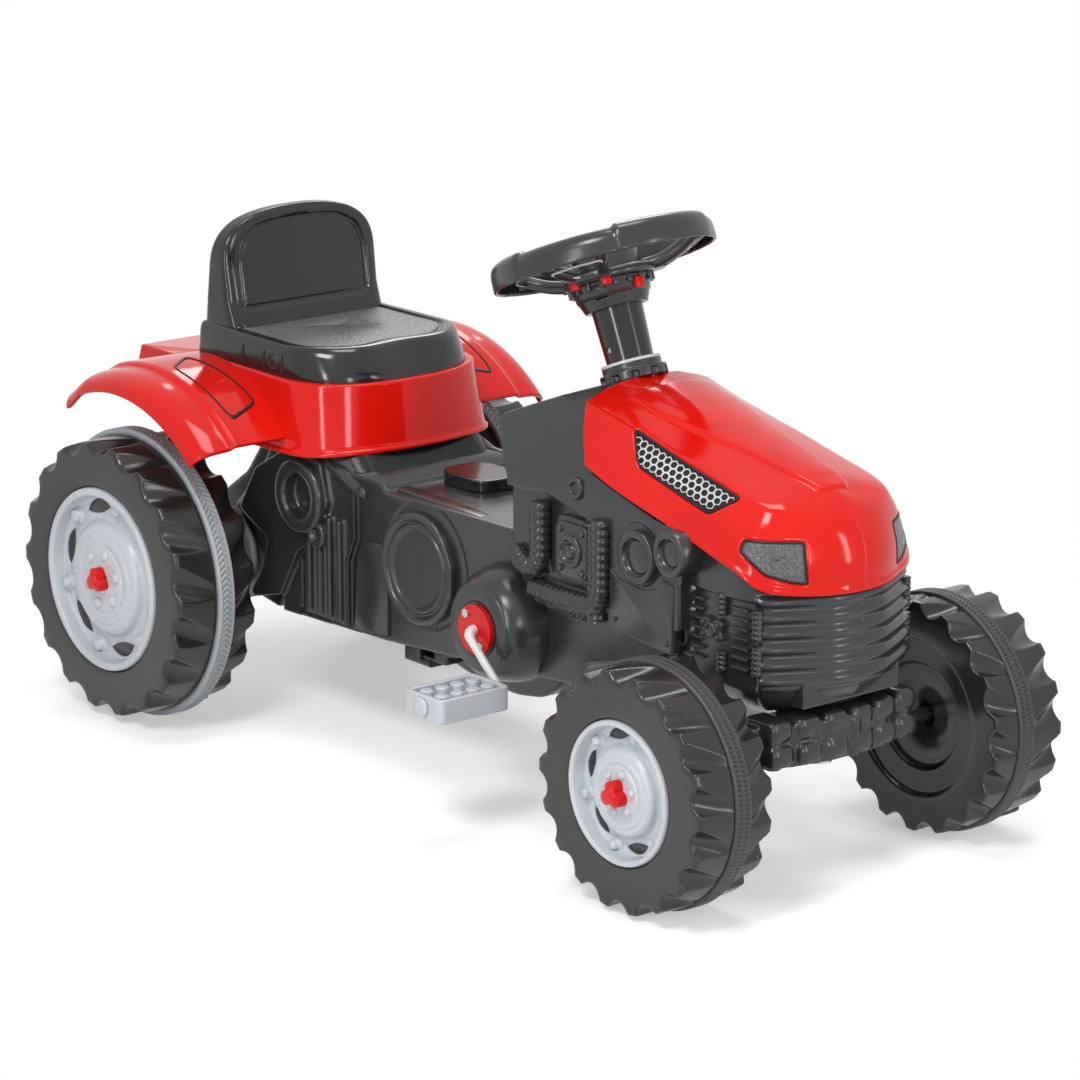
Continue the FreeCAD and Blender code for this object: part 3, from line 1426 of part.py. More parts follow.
def front_axle_beam():
    """The bulky moulded beam, with lugs for the axle rod and a bore for the king bolt."""
    half = beam_span / 2
    rear_x = front_axle_x + beam_lug_depth / 2 - king_lead / 2
    outline = [(rear_x + beam_depth * d - beam_bow * (1 - bow) * (d > 0), half * s) for s, d, bow in BEAM_SHARES]
    outline = both_sides(outline)
    bar = plan_prism(outline, beam_corner, beam_z, beam_z + beam_height)
    bumps = []
    for share in BEAM_BUMP_SHARES:
        size = beam_bump_size_share * beam_depth
        x = rear_x + beam_depth - beam_bow * abs(share)
        bumps.append(upright(size, x - size / 2, share * half, beam_z, beam_z + beam_height * beam_bump_rise_share))
    lugs = []
    for side in (-1, 1):
        y_low = half - beam_lug_width if side > 0 else -half
        lugs.append(block(front_axle_x - beam_lug_depth / 2, rear_x + overrun, y_low, y_low + beam_lug_width,
                          beam_z, beam_z + beam_height * beam_lug_rise_share))
    rest = block(front_axle_x - beam_lug_depth / 2, rear_x + overrun, -tongue_width / 2, tongue_width / 2,
                 tongue_z + tongue_thickness, beam_z + beam_height * beam_bump_rise_share)
    cuts = [across(axle_radius, front_axle_x, front_axle_z, -beam_span, beam_span),
            upright(king_bolt_radius + running_gap, king_x, 0, 0, 2 * deck_z), tongue_bar()]
    return joined([bar, rest] + bumps + lugs).cut(cuts)


def tongue_bar():
    """The flat bar that runs back from the beam, without its holes."""
    half = tongue_width / 2
    end = king_x - tongue_end
    front = king_x + 2 * king_bolt_radius
    return plan_prism([(end, -half), (front, -half), (front, half), (end, half)], half * tongue_corner_share,
                      tongue_z, tongue_z + tongue_thickness)


def pin_circle():
    """Where the column's axis and the crank's pin cross the tongue, measured back from the king bolt."""
    level = tongue_z + tongue_thickness / 2
    tilt = math.radians(column_tilt)
    axis_x = dash_x + (dash_z - level) * math.tan(tilt)
    return king_x - axis_x, steering_crank / math.cos(tilt)


def pin_slot():
    shaft_back, pin_back = pin_circle()
    width = steering_pin_radius + slot_gap
    near = king_x - shaft_back - pin_back * pin_slot_share
    far = king_x - shaft_back - pin_back - 2 * slot_gap
    z_low = tongue_z - overrun
    z_high = tongue_z + tongue_thickness + overrun
    slot = block(far, near, -width, width, z_low, z_high)
    return slot.fuse([upright(width, far, 0, z_low, z_high), upright(width, near, 0, z_low, z_high)])


def steering_tongue():
    """The tongue's bar with the crank pin's slot and the king bolt's hole."""
    return tongue_bar().cut([pin_slot(), upright(king_bolt_radius + running_gap, king_x, 0, 0, 2 * deck_z)])


def front_axle_rod():
    end = front_track / 2 + front_wheel_width / 2 - rim_depth / 4
    return across(axle_radius, front_axle_x, front_axle_z, -end, end)


def king_bolt():
    """The pivot bolt of the front axle, with its head sunk in the deck and a nut below the beam."""
    top = deck_z + deck_height
    low = beam_z - free_gap - king_head_height
    bolt = upright(king_bolt_radius, king_x, 0, low, top)
    head = upright(king_head_radius, king_x, 0, top - king_head_height, top)
    nut = upright(king_head_radius, king_x, 0, low, low + king_head_height)
    return joined([bolt, head, nut])


# Screws

def screw(x, y, z):
    """A pan-head screw driven into a right-hand side face at y."""
    shank = across(screw_radius, x, z, y, y + screw_depth)
    return shank.fuse(across(screw_head_radius, x, z, y - screw_head, y))


def crank_bush_screws():
    face_y = -crank_boss_width / 2 - crank_bush_flange
    reach = (crank_bush_radius + crank_bush_barrel) / 2
    screws = []
    for side in (-1, 1):
        one = screw(crank_x + side * reach * crank_screw_shares[0], face_y,
                    crank_z - side * reach * crank_screw_shares[1])
        screws += [one, mirrored(one)]
    return Part.Compound(screws)


def seat_screws():
    """Upright screws that hold the seat's base to the tub from below."""
    screws = []
    for share in SEAT_SCREW_SHARES:
        for side in (-1, 1):
            x = seat_x + share * seat_length
            y = side * seat_width * seat_screw_side_share
            screws.append(upright(screw_head_radius, x, y, body_top_z - body_wall - screw_head,
                                  body_top_z - body_wall))
    return Part.Compound(screws)


def all_parts():
    rear_hub_inner = rear_bush_face() + free_gap
    front_hub_inner = beam_span / 2 + free_gap
    parts = {}
    parts.update(chassis_shells())
    parts.update(cowl_shells())
    parts.update(hood_parts())
    parts.update(wheel_set("rear", rear_wheel_radius, rear_wheel_width, rear_rim_radius, rear_track, rear_axle_x,
                           rear_hub_inner, "right"))
    parts.update(wheel_set("front", front_wheel_radius, front_wheel_width, front_rim_radius, front_track,
                           front_axle_x, front_hub_inner, "none"))
    bush = crank_bush()
    screws = crank_bush_screws()
    parts["crank_bush_right"] = bush
    parts["crank_bush_left"] = mirrored(bush)
    parts["crank_bush_screws"] = screws
    parts["crank_rod"] = crank_rod()
    parts["crank_sprocket"] = crank_sprocket()
    parts["pedal_right"] = pedal(1)
    parts["pedal_left"] = pedal(-1)
    parts["pedal_push_nuts"] = push_nuts()
    parts["rear_axle"] = rear_axle()
    parts["rear_sprocket"] = rear_sprocket()
    parts["rear_axle_bushes"] = rear_axle_bushes()
    parts["drive_chain"] = drive_chain()
    parts["chain_guard"] = chain_guard()
    parts["rear_body"] = rear_body()
    parts["seat"] = seat()
    parts["seat_screws"] = seat_screws()
    parts["tow_hitch"] = tow_hitch()
    parts["tunnel_cap"] = tunnel_cap()
    parts["steering_wheel"] = steering_wheel()
    parts["steering_hub"] = steering_hub()
    parts["column_tube"] = column_tube()
    parts["column_bolt"] = column_bolt()
    parts["steering_shaft"] = steering_shaft()
    parts["steering_lower_bush"] = steering_lower_bush()
    parts["column_collar"] = column_collar()
    parts["column_ring"] = column_ring()
    parts["horn_button"] = horn_button()
    parts["horn_spring"] = horn_spring()
    parts["front_axle_beam"] = front_axle_beam()
    parts["front_axle_rod"] = front_axle_rod()
    parts["steering_tongue"] = steering_tongue()
    parts["king_bolt"] = king_bolt()
    return parts


def main():
    os.makedirs("parts", exist_ok=True)
    for name, shape in all_parts().items():
        print(name, shape.ShapeType, len(shape.Solids), shape.isValid(), round(shape.Volume))
        shape.exportStep("parts/" + name + ".step")


main()
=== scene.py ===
"""Looks of a ride-on pedal tractor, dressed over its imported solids.

Places are written in millimetres from the floor below the rear axle's middle: X forward, Y to the
driver's left and Z up. They are turned into metres of the shared frame.
"""
import json
import math

import bmesh
import bpy
import numpy as np
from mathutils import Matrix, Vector
from mathutils.bvhtree import BVHTree


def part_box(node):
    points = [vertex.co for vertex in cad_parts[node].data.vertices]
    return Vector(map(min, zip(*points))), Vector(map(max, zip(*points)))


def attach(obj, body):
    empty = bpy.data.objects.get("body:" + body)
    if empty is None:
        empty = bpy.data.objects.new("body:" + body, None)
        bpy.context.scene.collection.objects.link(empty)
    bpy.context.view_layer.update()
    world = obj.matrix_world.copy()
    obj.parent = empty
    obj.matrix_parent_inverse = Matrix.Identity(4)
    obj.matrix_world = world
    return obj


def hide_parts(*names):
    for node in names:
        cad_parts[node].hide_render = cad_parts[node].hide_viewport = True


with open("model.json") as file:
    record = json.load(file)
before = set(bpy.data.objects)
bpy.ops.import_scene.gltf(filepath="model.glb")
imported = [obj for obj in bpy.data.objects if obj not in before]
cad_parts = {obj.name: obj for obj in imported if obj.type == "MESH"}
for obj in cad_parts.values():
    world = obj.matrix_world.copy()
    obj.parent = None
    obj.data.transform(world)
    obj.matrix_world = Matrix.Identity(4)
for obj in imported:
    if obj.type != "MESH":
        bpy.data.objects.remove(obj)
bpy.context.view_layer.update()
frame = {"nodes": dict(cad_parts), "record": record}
MM = 0.001
TINY = 1e-9
SMALL = 1e-6
# The most of a side that a rounded corner may take, and where a plate's rounded edge is cut
CORNER_SHARE = 0.48
BEVEL_SHARE = 0.3
AXLE_HEIGHT = 140.0


def middle(node):
    low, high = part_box(node)
    return (low + high) / 2


SHIFT = np.array([middle("rear_axle").x, 0.0, 0.0])


# Lines and numbers

def ease(value, low, high):
    share = np.clip((value - low) / (high - low), 0, 1)
    return share * share * (3 - 2 * share)


def smooth_line(points, steps, closed=False):
    """A smooth line through points, with so many steps between each pair."""
    line = np.array(points, float)
    if closed:
        ends = np.concatenate([line[-1:], line, line[:2]])
    else:
        ends = np.concatenate([2 * line[:1] - line[1:2], line, 2 * line[-1:] - line[-2:-1]])
    t = np.linspace(0, 1, steps, endpoint=False)[:, None]
    runs = []
    for i in range(len(ends) - 3):
        a, b, c, d = ends[i:i + 4]
        runs.append(0.5 * (2 * b + (c - a) * t + (2 * a - 5 * b + 4 * c - d) * t ** 2
                           + (3 * b - a - 3 * c + d) * t ** 3))
    if not closed:
        runs.append(line[-1:])
    return np.concatenate(runs)


def spline(knots, values, at):
    """A natural cubic spline through rows of values."""
    count = len(knots)
    gap = np.diff(knots)
    matrix = np.eye(count)
    right = np.zeros_like(values)
    for i in range(1, count - 1):
        matrix[i, i - 1:i + 2] = gap[i - 1], 2 * (gap[i - 1] + gap[i]), gap[i]
        right[i] = 6 * ((values[i + 1] - values[i]) / gap[i] - (values[i] - values[i - 1]) / gap[i - 1])
    bend = np.linalg.solve(matrix, right)
    k = np.clip(np.searchsorted(knots, at) - 1, 0, count - 2)
    h = gap[k][:, None]
    a = ((knots[k + 1] - at)[:, None]) / h
    b = ((at - knots[k])[:, None]) / h
    curve = (a ** 3 - a) * bend[k] + (b ** 3 - b) * bend[k + 1]
    return a * values[k] + b * values[k + 1] + curve * h ** 2 / 6


def rounded(points, radius, steps=5):
    """A closed flat outline with rounded corners."""
    corners = np.array(points, float)
    line = []
    for i in range(len(corners)):
        here = corners[i]
        back = corners[i - 1] - here
        on = corners[(i + 1) % len(corners)] - here
        reach = min(radius, CORNER_SHARE * np.linalg.norm(back), CORNER_SHARE * np.linalg.norm(on))
        first = here + back / np.linalg.norm(back) * reach
        last = here + on / np.linalg.norm(on) * reach
        for t in np.linspace(0, 1, steps):
            line.append((1 - t) ** 2 * first + 2 * t * (1 - t) * here + t ** 2 * last)
    return np.array(line)


def run_of(line):
    """Distance of each point along a line from its start."""
    return np.concatenate([[0], np.cumsum(np.linalg.norm(np.diff(line, axis=0), axis=1))])


def even_line(points, count, closed=False):
    """Evenly spaced points along a line."""
    line = np.array(points, float)
    if closed:
        line = np.concatenate([line, line[:1]])
    run = run_of(line)
    at = np.linspace(0, run[-1], count, endpoint=not closed)
    return np.stack([np.interp(at, run, line[:, i]) for i in range(line.shape[1])], axis=1)


def inside_depth(points, polygon):
    """Distance of flat points from a polygon's edge, positive inside."""
    corners = np.array(polygon, float)
    dist = np.full(len(points), np.inf)
    inside = np.zeros(len(points), bool)
    for i in range(len(corners)):
        a = corners[i - 1]
        b = corners[i]
        way = b - a
        t = np.clip(((points - a) @ way) / (way @ way), 0, 1)
        dist = np.minimum(dist, np.linalg.norm(points - a - t[:, None] * way, axis=1))
        crosses = (a[1] > points[:, 1]) != (b[1] > points[:, 1])
        slope = (b[0] - a[0]) / (b[1] - a[1]) if b[1] != a[1] else 0.0
        inside ^= crosses & (points[:, 0] < slope * (points[:, 1] - a[1]) + a[0])
    return np.where(inside, dist, -dist)


def directions(line):
    """Unit directions along an open line."""
    way = np.gradient(line, axis=0)
    return way / np.linalg.norm(way, axis=1)[:, None]


def inward_of(outline):
    """Unit directions from the points of a closed outline to its inside."""
    way = np.roll(outline, -1, axis=0) - np.roll(outline, 1, axis=0)
    way /= np.maximum(np.linalg.norm(way, axis=1), TINY)[:, None]
    area = np.sum(outline[:, 0] * np.roll(outline[:, 1], -1) - np.roll(outline[:, 0], -1) * outline[:, 1])
    return np.stack([-way[:, 1], way[:, 0]], axis=1) * math.copysign(1, area)


def oblong(left, right, low, high):
    return [(left, low), (right, low), (right, high), (left, high)]


def shrunk(flat, centre, share):
    return centre + (flat - centre) * share


def drawn_in(flat, centre, inset):
    """A flat outline moved towards its centre by a distance."""
    reach = np.linalg.norm(flat - centre, axis=1)[:, None]
    return centre + (flat - centre) * (1 - inset / reach)


def at_height(flat, height):
    return np.column_stack([flat, np.full(len(flat), height)])


def full_turn(count):
    return np.linspace(0, 2 * math.pi, count, endpoint=False)


# Shapes: a shape is points in millimetres with faces

def grid_faces(rows, cols, wrap_rows=False, wrap_cols=False):
    i = np.arange(rows if wrap_rows else rows - 1)[:, None]
    j = np.arange(cols if wrap_cols else cols - 1)[None, :]
    a = i * cols + j
    b = i * cols + (j + 1) % cols
    c = ((i + 1) % rows) * cols + (j + 1) % cols
    d = ((i + 1) % rows) * cols + j
    return np.stack([x + 0 * a for x in (a, b, c, d)], axis=-1).reshape(-1, 4).tolist()


def ring_shape(rows):
    """A closed shape over rows of points that wrap both ways."""
    return np.concatenate(rows), grid_faces(len(rows), len(rows[0]), True, True)


def capped_shape(rows):
    """A closed shape over rings of points, with a flat face at either end."""
    count = len(rows[0])
    faces = grid_faces(len(rows), count, False, True)
    faces.append(list(range(count))[::-1])
    faces.append([(len(rows) - 1) * count + i for i in range(count)])
    return np.concatenate(rows), faces


def lathe(profile, place, axis, segments=48):
    """A turned shape: a profile of (radius, height) from axis to axis, standing at a place along an axis."""
    profile = np.array(profile, float)
    up = np.array(Vector(axis).normalized())
    side = np.array(Vector(axis).orthogonal().normalized())
    third = np.cross(up, side)
    turn = full_turn(segments)
    ring = np.cos(turn)[:, None] * side + np.sin(turn)[:, None] * third
    around = profile[:, None, 0:1] * ring[None]
    return capped_shape(around + profile[:, None, 1:2] * up + np.array(place, float))


def tube(path, radius, segments=20, swell=None):
    """A round tube along a path; swell gives each station's share of the radius."""
    path = np.array(path, float)
    way = directions(path)
    side = np.array(Vector(way[0]).orthogonal().normalized())
    rows = []
    turn = full_turn(segments)
    for i in range(len(path)):
        side = side - (side @ way[i]) * way[i]
        side /= np.linalg.norm(side)
        third = np.cross(way[i], side)
        size = radius * (1.0 if swell is None else swell[i])
        rows.append(path[i] + size * (np.cos(turn)[:, None] * side + np.sin(turn)[:, None] * third))
    return capped_shape(rows)


def plate(outline, low, high, lift, edge=1.0):
    """A flat plate over an outline with a rounded upper edge; lift places (a, b, height) in space."""
    outline = np.array(outline, float)
    inward = inward_of(outline)
    drop = math.copysign(edge, high - low)
    cut = BEVEL_SHARE * edge
    rows = []
    for inset, height in ((0.0, low), (0.0, high - drop), (cut, high - BEVEL_SHARE * drop), (edge, high)):
        rows.append([lift(a, b, height) for a, b in outline + inset * inward])
    return capped_shape(rows)


def lying(a, b, height):
    return a, b, height


def on_right(a, b, height):
    """Lift for details on the right side: (x, z, distance from the middle plane)."""
    return a, -height, b


def side_lathe(profile, x, z, segments=64):
    """A turned detail on the right side: radius and distance from the middle plane."""
    return lathe(profile, (x, 0.0, z), (0, -1, 0), segments)


def side_plate(points, low, high, radius=3.0, edge=1.0):
    return plate(rounded(points, radius), low, high, on_right, edge)


def turned_over(shape):
    points, faces = shape
    points = np.array(points, float) * np.array([1.0, -1.0, 1.0])
    return points, [list(face)[::-1] for face in faces]


def both(shapes):
    return list(shapes) + [turned_over(shape) for shape in shapes]


def for_side(shapes, side):
    """Shapes of the right side as they are, or turned over for the left one."""
    return [turned_over(shape) for shape in shapes] if side == "left" else shapes


# Meshes and pieces

def mesh_of(name, shapes, place=(0.0, 0.0, 0.0)):
    """One mesh in the shared frame from closed shapes in millimetres, with its faces turned outwards."""
    points = []
    faces = []
    base = 0
    for shape_points, shape_faces in shapes:
        points.append(np.array(shape_points, float))
        faces += [[base + i for i in face] for face in shape_faces]
        base += len(shape_points)
    placed = (np.concatenate(points) + np.array(place)) * MM + SHIFT
    mesh = bpy.data.meshes.new(name)
    mesh.from_pydata(placed.tolist(), [], faces)
    mesh.update()
    work = bmesh.new()
    work.from_mesh(mesh)
    bmesh.ops.recalc_face_normals(work, faces=work.faces)
    work.to_mesh(mesh)
    work.free()
    return mesh


def points_of(mesh):
    values = np.empty(len(mesh.vertices) * 3)
    mesh.vertices.foreach_get("co", values)
    return (values.reshape(-1, 3) - SHIFT) / MM


def set_points(mesh, points):
    mesh.vertices.foreach_set("co", (points * MM + SHIFT).ravel())
    mesh.update()


def moulded(name, meshes, voxel, rounds):
    """One skin over closed meshes that touch or overlap, with a moulding's soft edges."""
    work = bmesh.new()
    for mesh in meshes:
        work.from_mesh(mesh)
    rough = bpy.data.meshes.new(name + "_rough")
    work.to_mesh(rough)
    work.free()
    obj = bpy.data.objects.new(name + "_rough", rough)
    bpy.context.scene.collection.objects.link(obj)
    skin = obj.modifiers.new("skin", "REMESH")
    skin.mode = "VOXEL"
    skin.voxel_size = voxel * MM
    soft = obj.modifiers.new("soft", "SMOOTH")
    soft.factor = 0.5
    soft.iterations = rounds
    graph = bpy.context.evaluated_depsgraph_get()
    mesh = bpy.data.meshes.new_from_object(obj.evaluated_get(graph))
    mesh.name = name
    bpy.data.objects.remove(obj)
    bpy.data.meshes.remove(rough)
    return mesh


def with_parts(mesh, shapes):
    """Add crisp closed shapes to a moulded mesh."""
    extra = mesh_of(mesh.name + "_parts", shapes)
    work = bmesh.new()
    work.from_mesh(mesh)
    work.from_mesh(extra)
    work.to_mesh(mesh)
    work.free()
    bpy.data.meshes.remove(extra)


def cad_mesh(node):
    return frame["nodes"][node].data


def piece(name, mesh, material, body, slot, nodes=()):
    obj = bpy.data.objects.new(name, mesh)
    bpy.context.scene.collection.objects.link(obj)
    mesh.materials.clear()
    mesh.materials.append(material)
    mesh.shade_smooth()
    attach(obj, body)
    if nodes:
        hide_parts(*nodes)


def shaped(name, shapes, material, body, slot, nodes=(), place=(0.0, 0.0, 0.0)):
    """A piece made of closed shapes in millimetres."""
    piece(name, mesh_of(name, shapes, place), material, body, slot, nodes)


# Materials

# Painted edge highlight: the span of pointiness that counts, and how much paler the edges are painted
EDGE_HIGHLIGHT_SPAN = (0.51, 0.60)
EDGE_HIGHLIGHT_GAIN = 1.9
EDGE_HIGHLIGHT_LIFT = 0.03
# Uneven gloss: its range as shares of the roughness, and how much finer it is than the colour's clouds
GLOSS_RANGE = (0.86, 1.18)
GLOSS_FINENESS = 7


def node_of(tree, kind, **values):
    node = tree.nodes.new(kind)
    for key, value in values.items():
        if key in node.inputs:
            node.inputs[key].default_value = value
        else:
            setattr(node, key, value)
    return node


def noise_of(tree, place, scale, detail=3.0):
    noise = node_of(tree, "ShaderNodeTexNoise", Scale=scale, Detail=detail)
    tree.links.new(place.outputs["Object"], noise.inputs["Vector"])
    return noise.outputs["Fac"]


def ranged(tree, value, low, high, start=0.3, stop=0.7):
    span = tree.nodes.new("ShaderNodeMapRange")
    for key, limit in (("From Min", start), ("From Max", stop), ("To Min", low), ("To Max", high)):
        span.inputs[key].default_value = limit
    tree.links.new(value, span.inputs["Value"])
    return span.outputs["Result"]


def blended(tree, value, first, second):
    """A mix of two colours, the first of which may be a socket."""
    mix = tree.nodes.new("ShaderNodeMix")
    mix.data_type = "RGBA"
    if isinstance(first, bpy.types.NodeSocket):
        tree.links.new(first, mix.inputs["A"])
    else:
        mix.inputs["A"].default_value = (*first, 1.0)
    mix.inputs["B"].default_value = (*second, 1.0)
    tree.links.new(value, mix.inputs["Factor"])
    return mix.outputs["Result"]


def finish_of(name, dark, light, rough, grain, bump, metallic=0.0, patch=9.0, edge=0.0, spec=0.5,
              deep=0.0004):
    """A moulded or painted finish: cloudy colour, uneven gloss and a fine grain, with a painted highlight on
    sharp edges where edge is given.
    """
    material = bpy.data.materials.new(name)
    material.use_nodes = True
    tree = material.node_tree
    shader = tree.nodes["Principled BSDF"]
    place = tree.nodes.new("ShaderNodeTexCoord")
    colour = blended(tree, ranged(tree, noise_of(tree, place, patch), 0.0, 1.0), dark, light)
    # Sharp edges are painted paler by their pointiness: a painted highlight
    if edge:
        shape = tree.nodes.new("ShaderNodeNewGeometry")
        edge_highlight = ranged(tree, shape.outputs["Pointiness"], 0.0, edge, *EDGE_HIGHLIGHT_SPAN)
        colour = blended(tree, edge_highlight, colour, [min(1.0, EDGE_HIGHLIGHT_GAIN * c + EDGE_HIGHLIGHT_LIFT) for c in light])
    tree.links.new(colour, shader.inputs["Base Color"])
    gloss = noise_of(tree, place, patch * GLOSS_FINENESS)
    low, high = GLOSS_RANGE
    tree.links.new(ranged(tree, gloss, rough * low, rough * high), shader.inputs["Roughness"])
    raised = node_of(tree, "ShaderNodeBump", Strength=bump, Distance=deep)
    tree.links.new(noise_of(tree, place, grain, 2.0), raised.inputs["Height"])
    tree.links.new(raised.outputs["Normal"], shader.inputs["Normal"])
    shader.inputs["Metallic"].default_value = metallic
    shader.inputs["Specular IOR Level"].default_value = spec
    return material


# edge sets the strength of a painted highlight along sharp edges
RED = finish_of("red_gloss", (0.60, 0.006, 0.002), (0.69, 0.009, 0.004), 0.11, 420, 0.03, spec=0.26)
CAP = finish_of("cap_red", (0.60, 0.005, 0.004), (0.68, 0.008, 0.007), 0.24, 600, 0.04, spec=0.28)
DARK = finish_of("dark_satin", (0.020, 0.021, 0.022), (0.030, 0.032, 0.034), 0.23, 900, 0.10, edge=0.16)
TYRE = finish_of("tyre_satin", (0.013, 0.012, 0.011), (0.020, 0.019, 0.017), 0.22, 1100, 0.08, edge=0.12)
PALE = finish_of("pale_grey", (0.49, 0.52, 0.56), (0.56, 0.59, 0.63), 0.30, 700, 0.05)
SEAT = finish_of("seat_black", (0.009, 0.009, 0.009), (0.014, 0.014, 0.013), 0.14, 1300, 0.04, edge=0.12,
                 spec=0.48)
# The pad's paler grey is partly its grain and partly painted sheen for its grazing view
PAD = finish_of("seat_grain_and_sheen", (0.050, 0.052, 0.055), (0.190, 0.195, 0.205), 0.42, 330, 1.0, patch=420,
                deep=0.001)
LAMP = finish_of("lamp_grain", (0.032, 0.033, 0.036), (0.120, 0.124, 0.130), 0.22, 420, 1.0, patch=700,
                 deep=0.001)
BLACK = finish_of("vent_black", (0.006, 0.006, 0.006), (0.010, 0.010, 0.010), 0.42, 900, 0.05, spec=0.3)
SILVER = finish_of("vent_silver", (0.58, 0.58, 0.58), (0.70, 0.70, 0.70), 0.30, 900, 0.05)
BAND = finish_of("band_grey", (0.28, 0.305, 0.33), (0.35, 0.375, 0.40), 0.45, 900, 0.15, edge=0.30)
DARK_BAND = finish_of("band_dark", (0.026, 0.025, 0.023), (0.040, 0.039, 0.036), 0.42, 900, 0.10, edge=0.4)
WHITE = finish_of("white_paint", (0.66, 0.66, 0.63), (0.74, 0.74, 0.71), 0.35, 500, 0.05)
STEEL = finish_of("steel", (0.46, 0.47, 0.48), (0.56, 0.57, 0.58), 0.32, 800, 0.10, metallic=1.0)


# Wheels, built about their middle with the outer face towards -Y

# Radius, width, rim radius, lift of the tread and count of the band's ribs
REAR_WHEEL = (AXLE_HEIGHT, 100.0, 89.0, 0.0, 156)
FRONT_WHEEL = (108.6, 92.0, 63.0, 0.022, 168)
LUGS = 18
LUG_STEPS = 30
RIM_DEPTH = 24.0
RIM_SINK = 1.5
BAND_WIDTH = 17.0
BAND_DEPTH = 7.0
HUB_RADIUS = 14.0
HUB_END_SHARE = 0.6
INBOARD_SHARE = 0.76
# Tread rows from sidewall to band: crest radius and width shares, trough radius and width shares,
# the trough's half width and its lean as shares of the lug pitch
TREAD_SHARES = [(0.800, 1.000, 0.800, 1.000, 0.34, 0.0), (0.850, 1.004, 0.836, 1.003, 0.35, 0.0),
                (0.900, 1.004, 0.858, 1.002, 0.36, 0.0), (0.928, 0.994, 0.869, 0.990, 0.36, 0.0),
                (0.944, 0.965, 0.876, 0.965, 0.355, 0.01), (0.950, 0.91, 0.882, 0.92, 0.345, 0.03),
                (0.952, 0.76, 0.895, 0.78, 0.31, 0.09), (0.953, 0.55, 0.915, 0.56, 0.25, 0.17),
                (0.954, 0.36, 0.934, 0.36, 0.185, 0.24), (0.955, 0.19, 0.950, 0.19, 0.13, 0.30)]
INBOARD_SHARES = [(0.745, 0.998), (0.690, 0.975), (0.664, 0.945), (0.650, 0.870), (0.632, 0.825),
                  (0.58, 0.812), (0.480, 0.795), (0.455, 0.775), (0.438, 0.690), (0.415, 0.620),
                  (0.38, 0.600)]
# Bead beside the rim: share of the rim's radius, distance, shares of the tyre's radius and half width
BEAD = [(1, -RIM_SINK, 0, 0.90), (1, 0.8, 0, 0.95), (1, 0, 0.03, 0.985), (0, 0, 0.77, 1)]
CREST_SPAN = (0.86, 0.94)
TROUGH_SPAN = (-0.9, -0.2)
TROUGH_ROUND = 0.85
# How far the inboard lugs stand behind the outer ones, and the two rows under the band
STAGGER = 0.5
SHELF_STAGGER = (0.1, 0.4)


def plain(points):
    """Rows of a tyre's profile without troughs."""
    return np.array([(r, y, r, y, 1.0, 0.0) for r, y in points])


def spun(reach, along, turn):
    """A closed ring about the axle from radii, places along the axle and turns."""
    return ring_shape(np.stack([reach * np.cos(turn), along, reach * np.sin(turn)], axis=-1))


def tyre_shape(radius, width, rim_radius, lift):
    """A closed turned tyre whose tread is cut by leaning, tapering troughs."""
    half = width / 2
    tread = smooth_line(TREAD_SHARES, 6)
    tread[:, 0] *= 1 + lift * ease(tread[:, 0], *CREST_SPAN)
    tread[:, 2] *= 1 + lift * ease(-tread[:, 1], *TROUGH_SPAN)
    outer = tread * np.array([radius, -half, radius, -half, 1, 1])
    back = INBOARD_SHARE * half
    inner = (tread * np.array([radius, back, radius, back, 1, 1]))[::-1]
    bead = [(a * rim_radius + b + c * radius, -d * half) for a, b, c, d in BEAD]
    start = plain(smooth_line(bead, 4)[:-1])
    shelf = plain([(radius - BAND_DEPTH, -BAND_WIDTH / 2), (radius - BAND_DEPTH, BAND_WIDTH / 2)])
    shelf[:, 5] = tread[-1, 5]
    board = plain(smooth_line([(r * radius, y * back) for r, y in INBOARD_SHARES], 3))
    floor = RIM_DEPTH - half
    end = plain([(HUB_RADIUS, HUB_END_SHARE * back), (HUB_RADIUS, floor), (rim_radius - RIM_SINK, floor)])
    rows = np.concatenate([start, outer, shelf, inner, board, end])
    first = len(start) + len(outer)
    stagger = np.full(len(rows), STAGGER)
    stagger[:first] = 0.0
    stagger[first:first + len(shelf)] = SHELF_STAGGER
    step = np.arange(LUGS * LUG_STEPS) / LUG_STEPS
    phase = (step % 1.0) - 0.5
    dip = np.clip(1 - (phase[None] / rows[:, 4:5]) ** 2, 0, 1) ** TROUGH_ROUND
    reach = rows[:, 0:1] * (1 - dip) + rows[:, 2:3] * dip
    along = rows[:, 1:2] * (1 - dip) + rows[:, 3:4] * dip
    turn = (step[None] - rows[:, 5:6] + stagger[:, None]) * 2 * math.pi / LUGS
    return spun(reach, along, turn)


BAND_STEPS = 8
BAND_ROWS = 25
BAND_CUT = 1.3
BAND_ROUND = 1.4
CHEVRON_LEAN = 1.1
RIB_LEAN = 0.35
# Where the moulded tread starts and ends across the band, and along one rib
CHEVRON_SPAN = (0.66, 0.74)
RIB_INNER_SPAN = (0.10, 0.2)
RIB_OUTER_SPAN = (0.62, 0.72)
BAND_EDGE_SPAN = (0.86, 1.0)
WAVE_SPAN = (-0.1, 0.75)


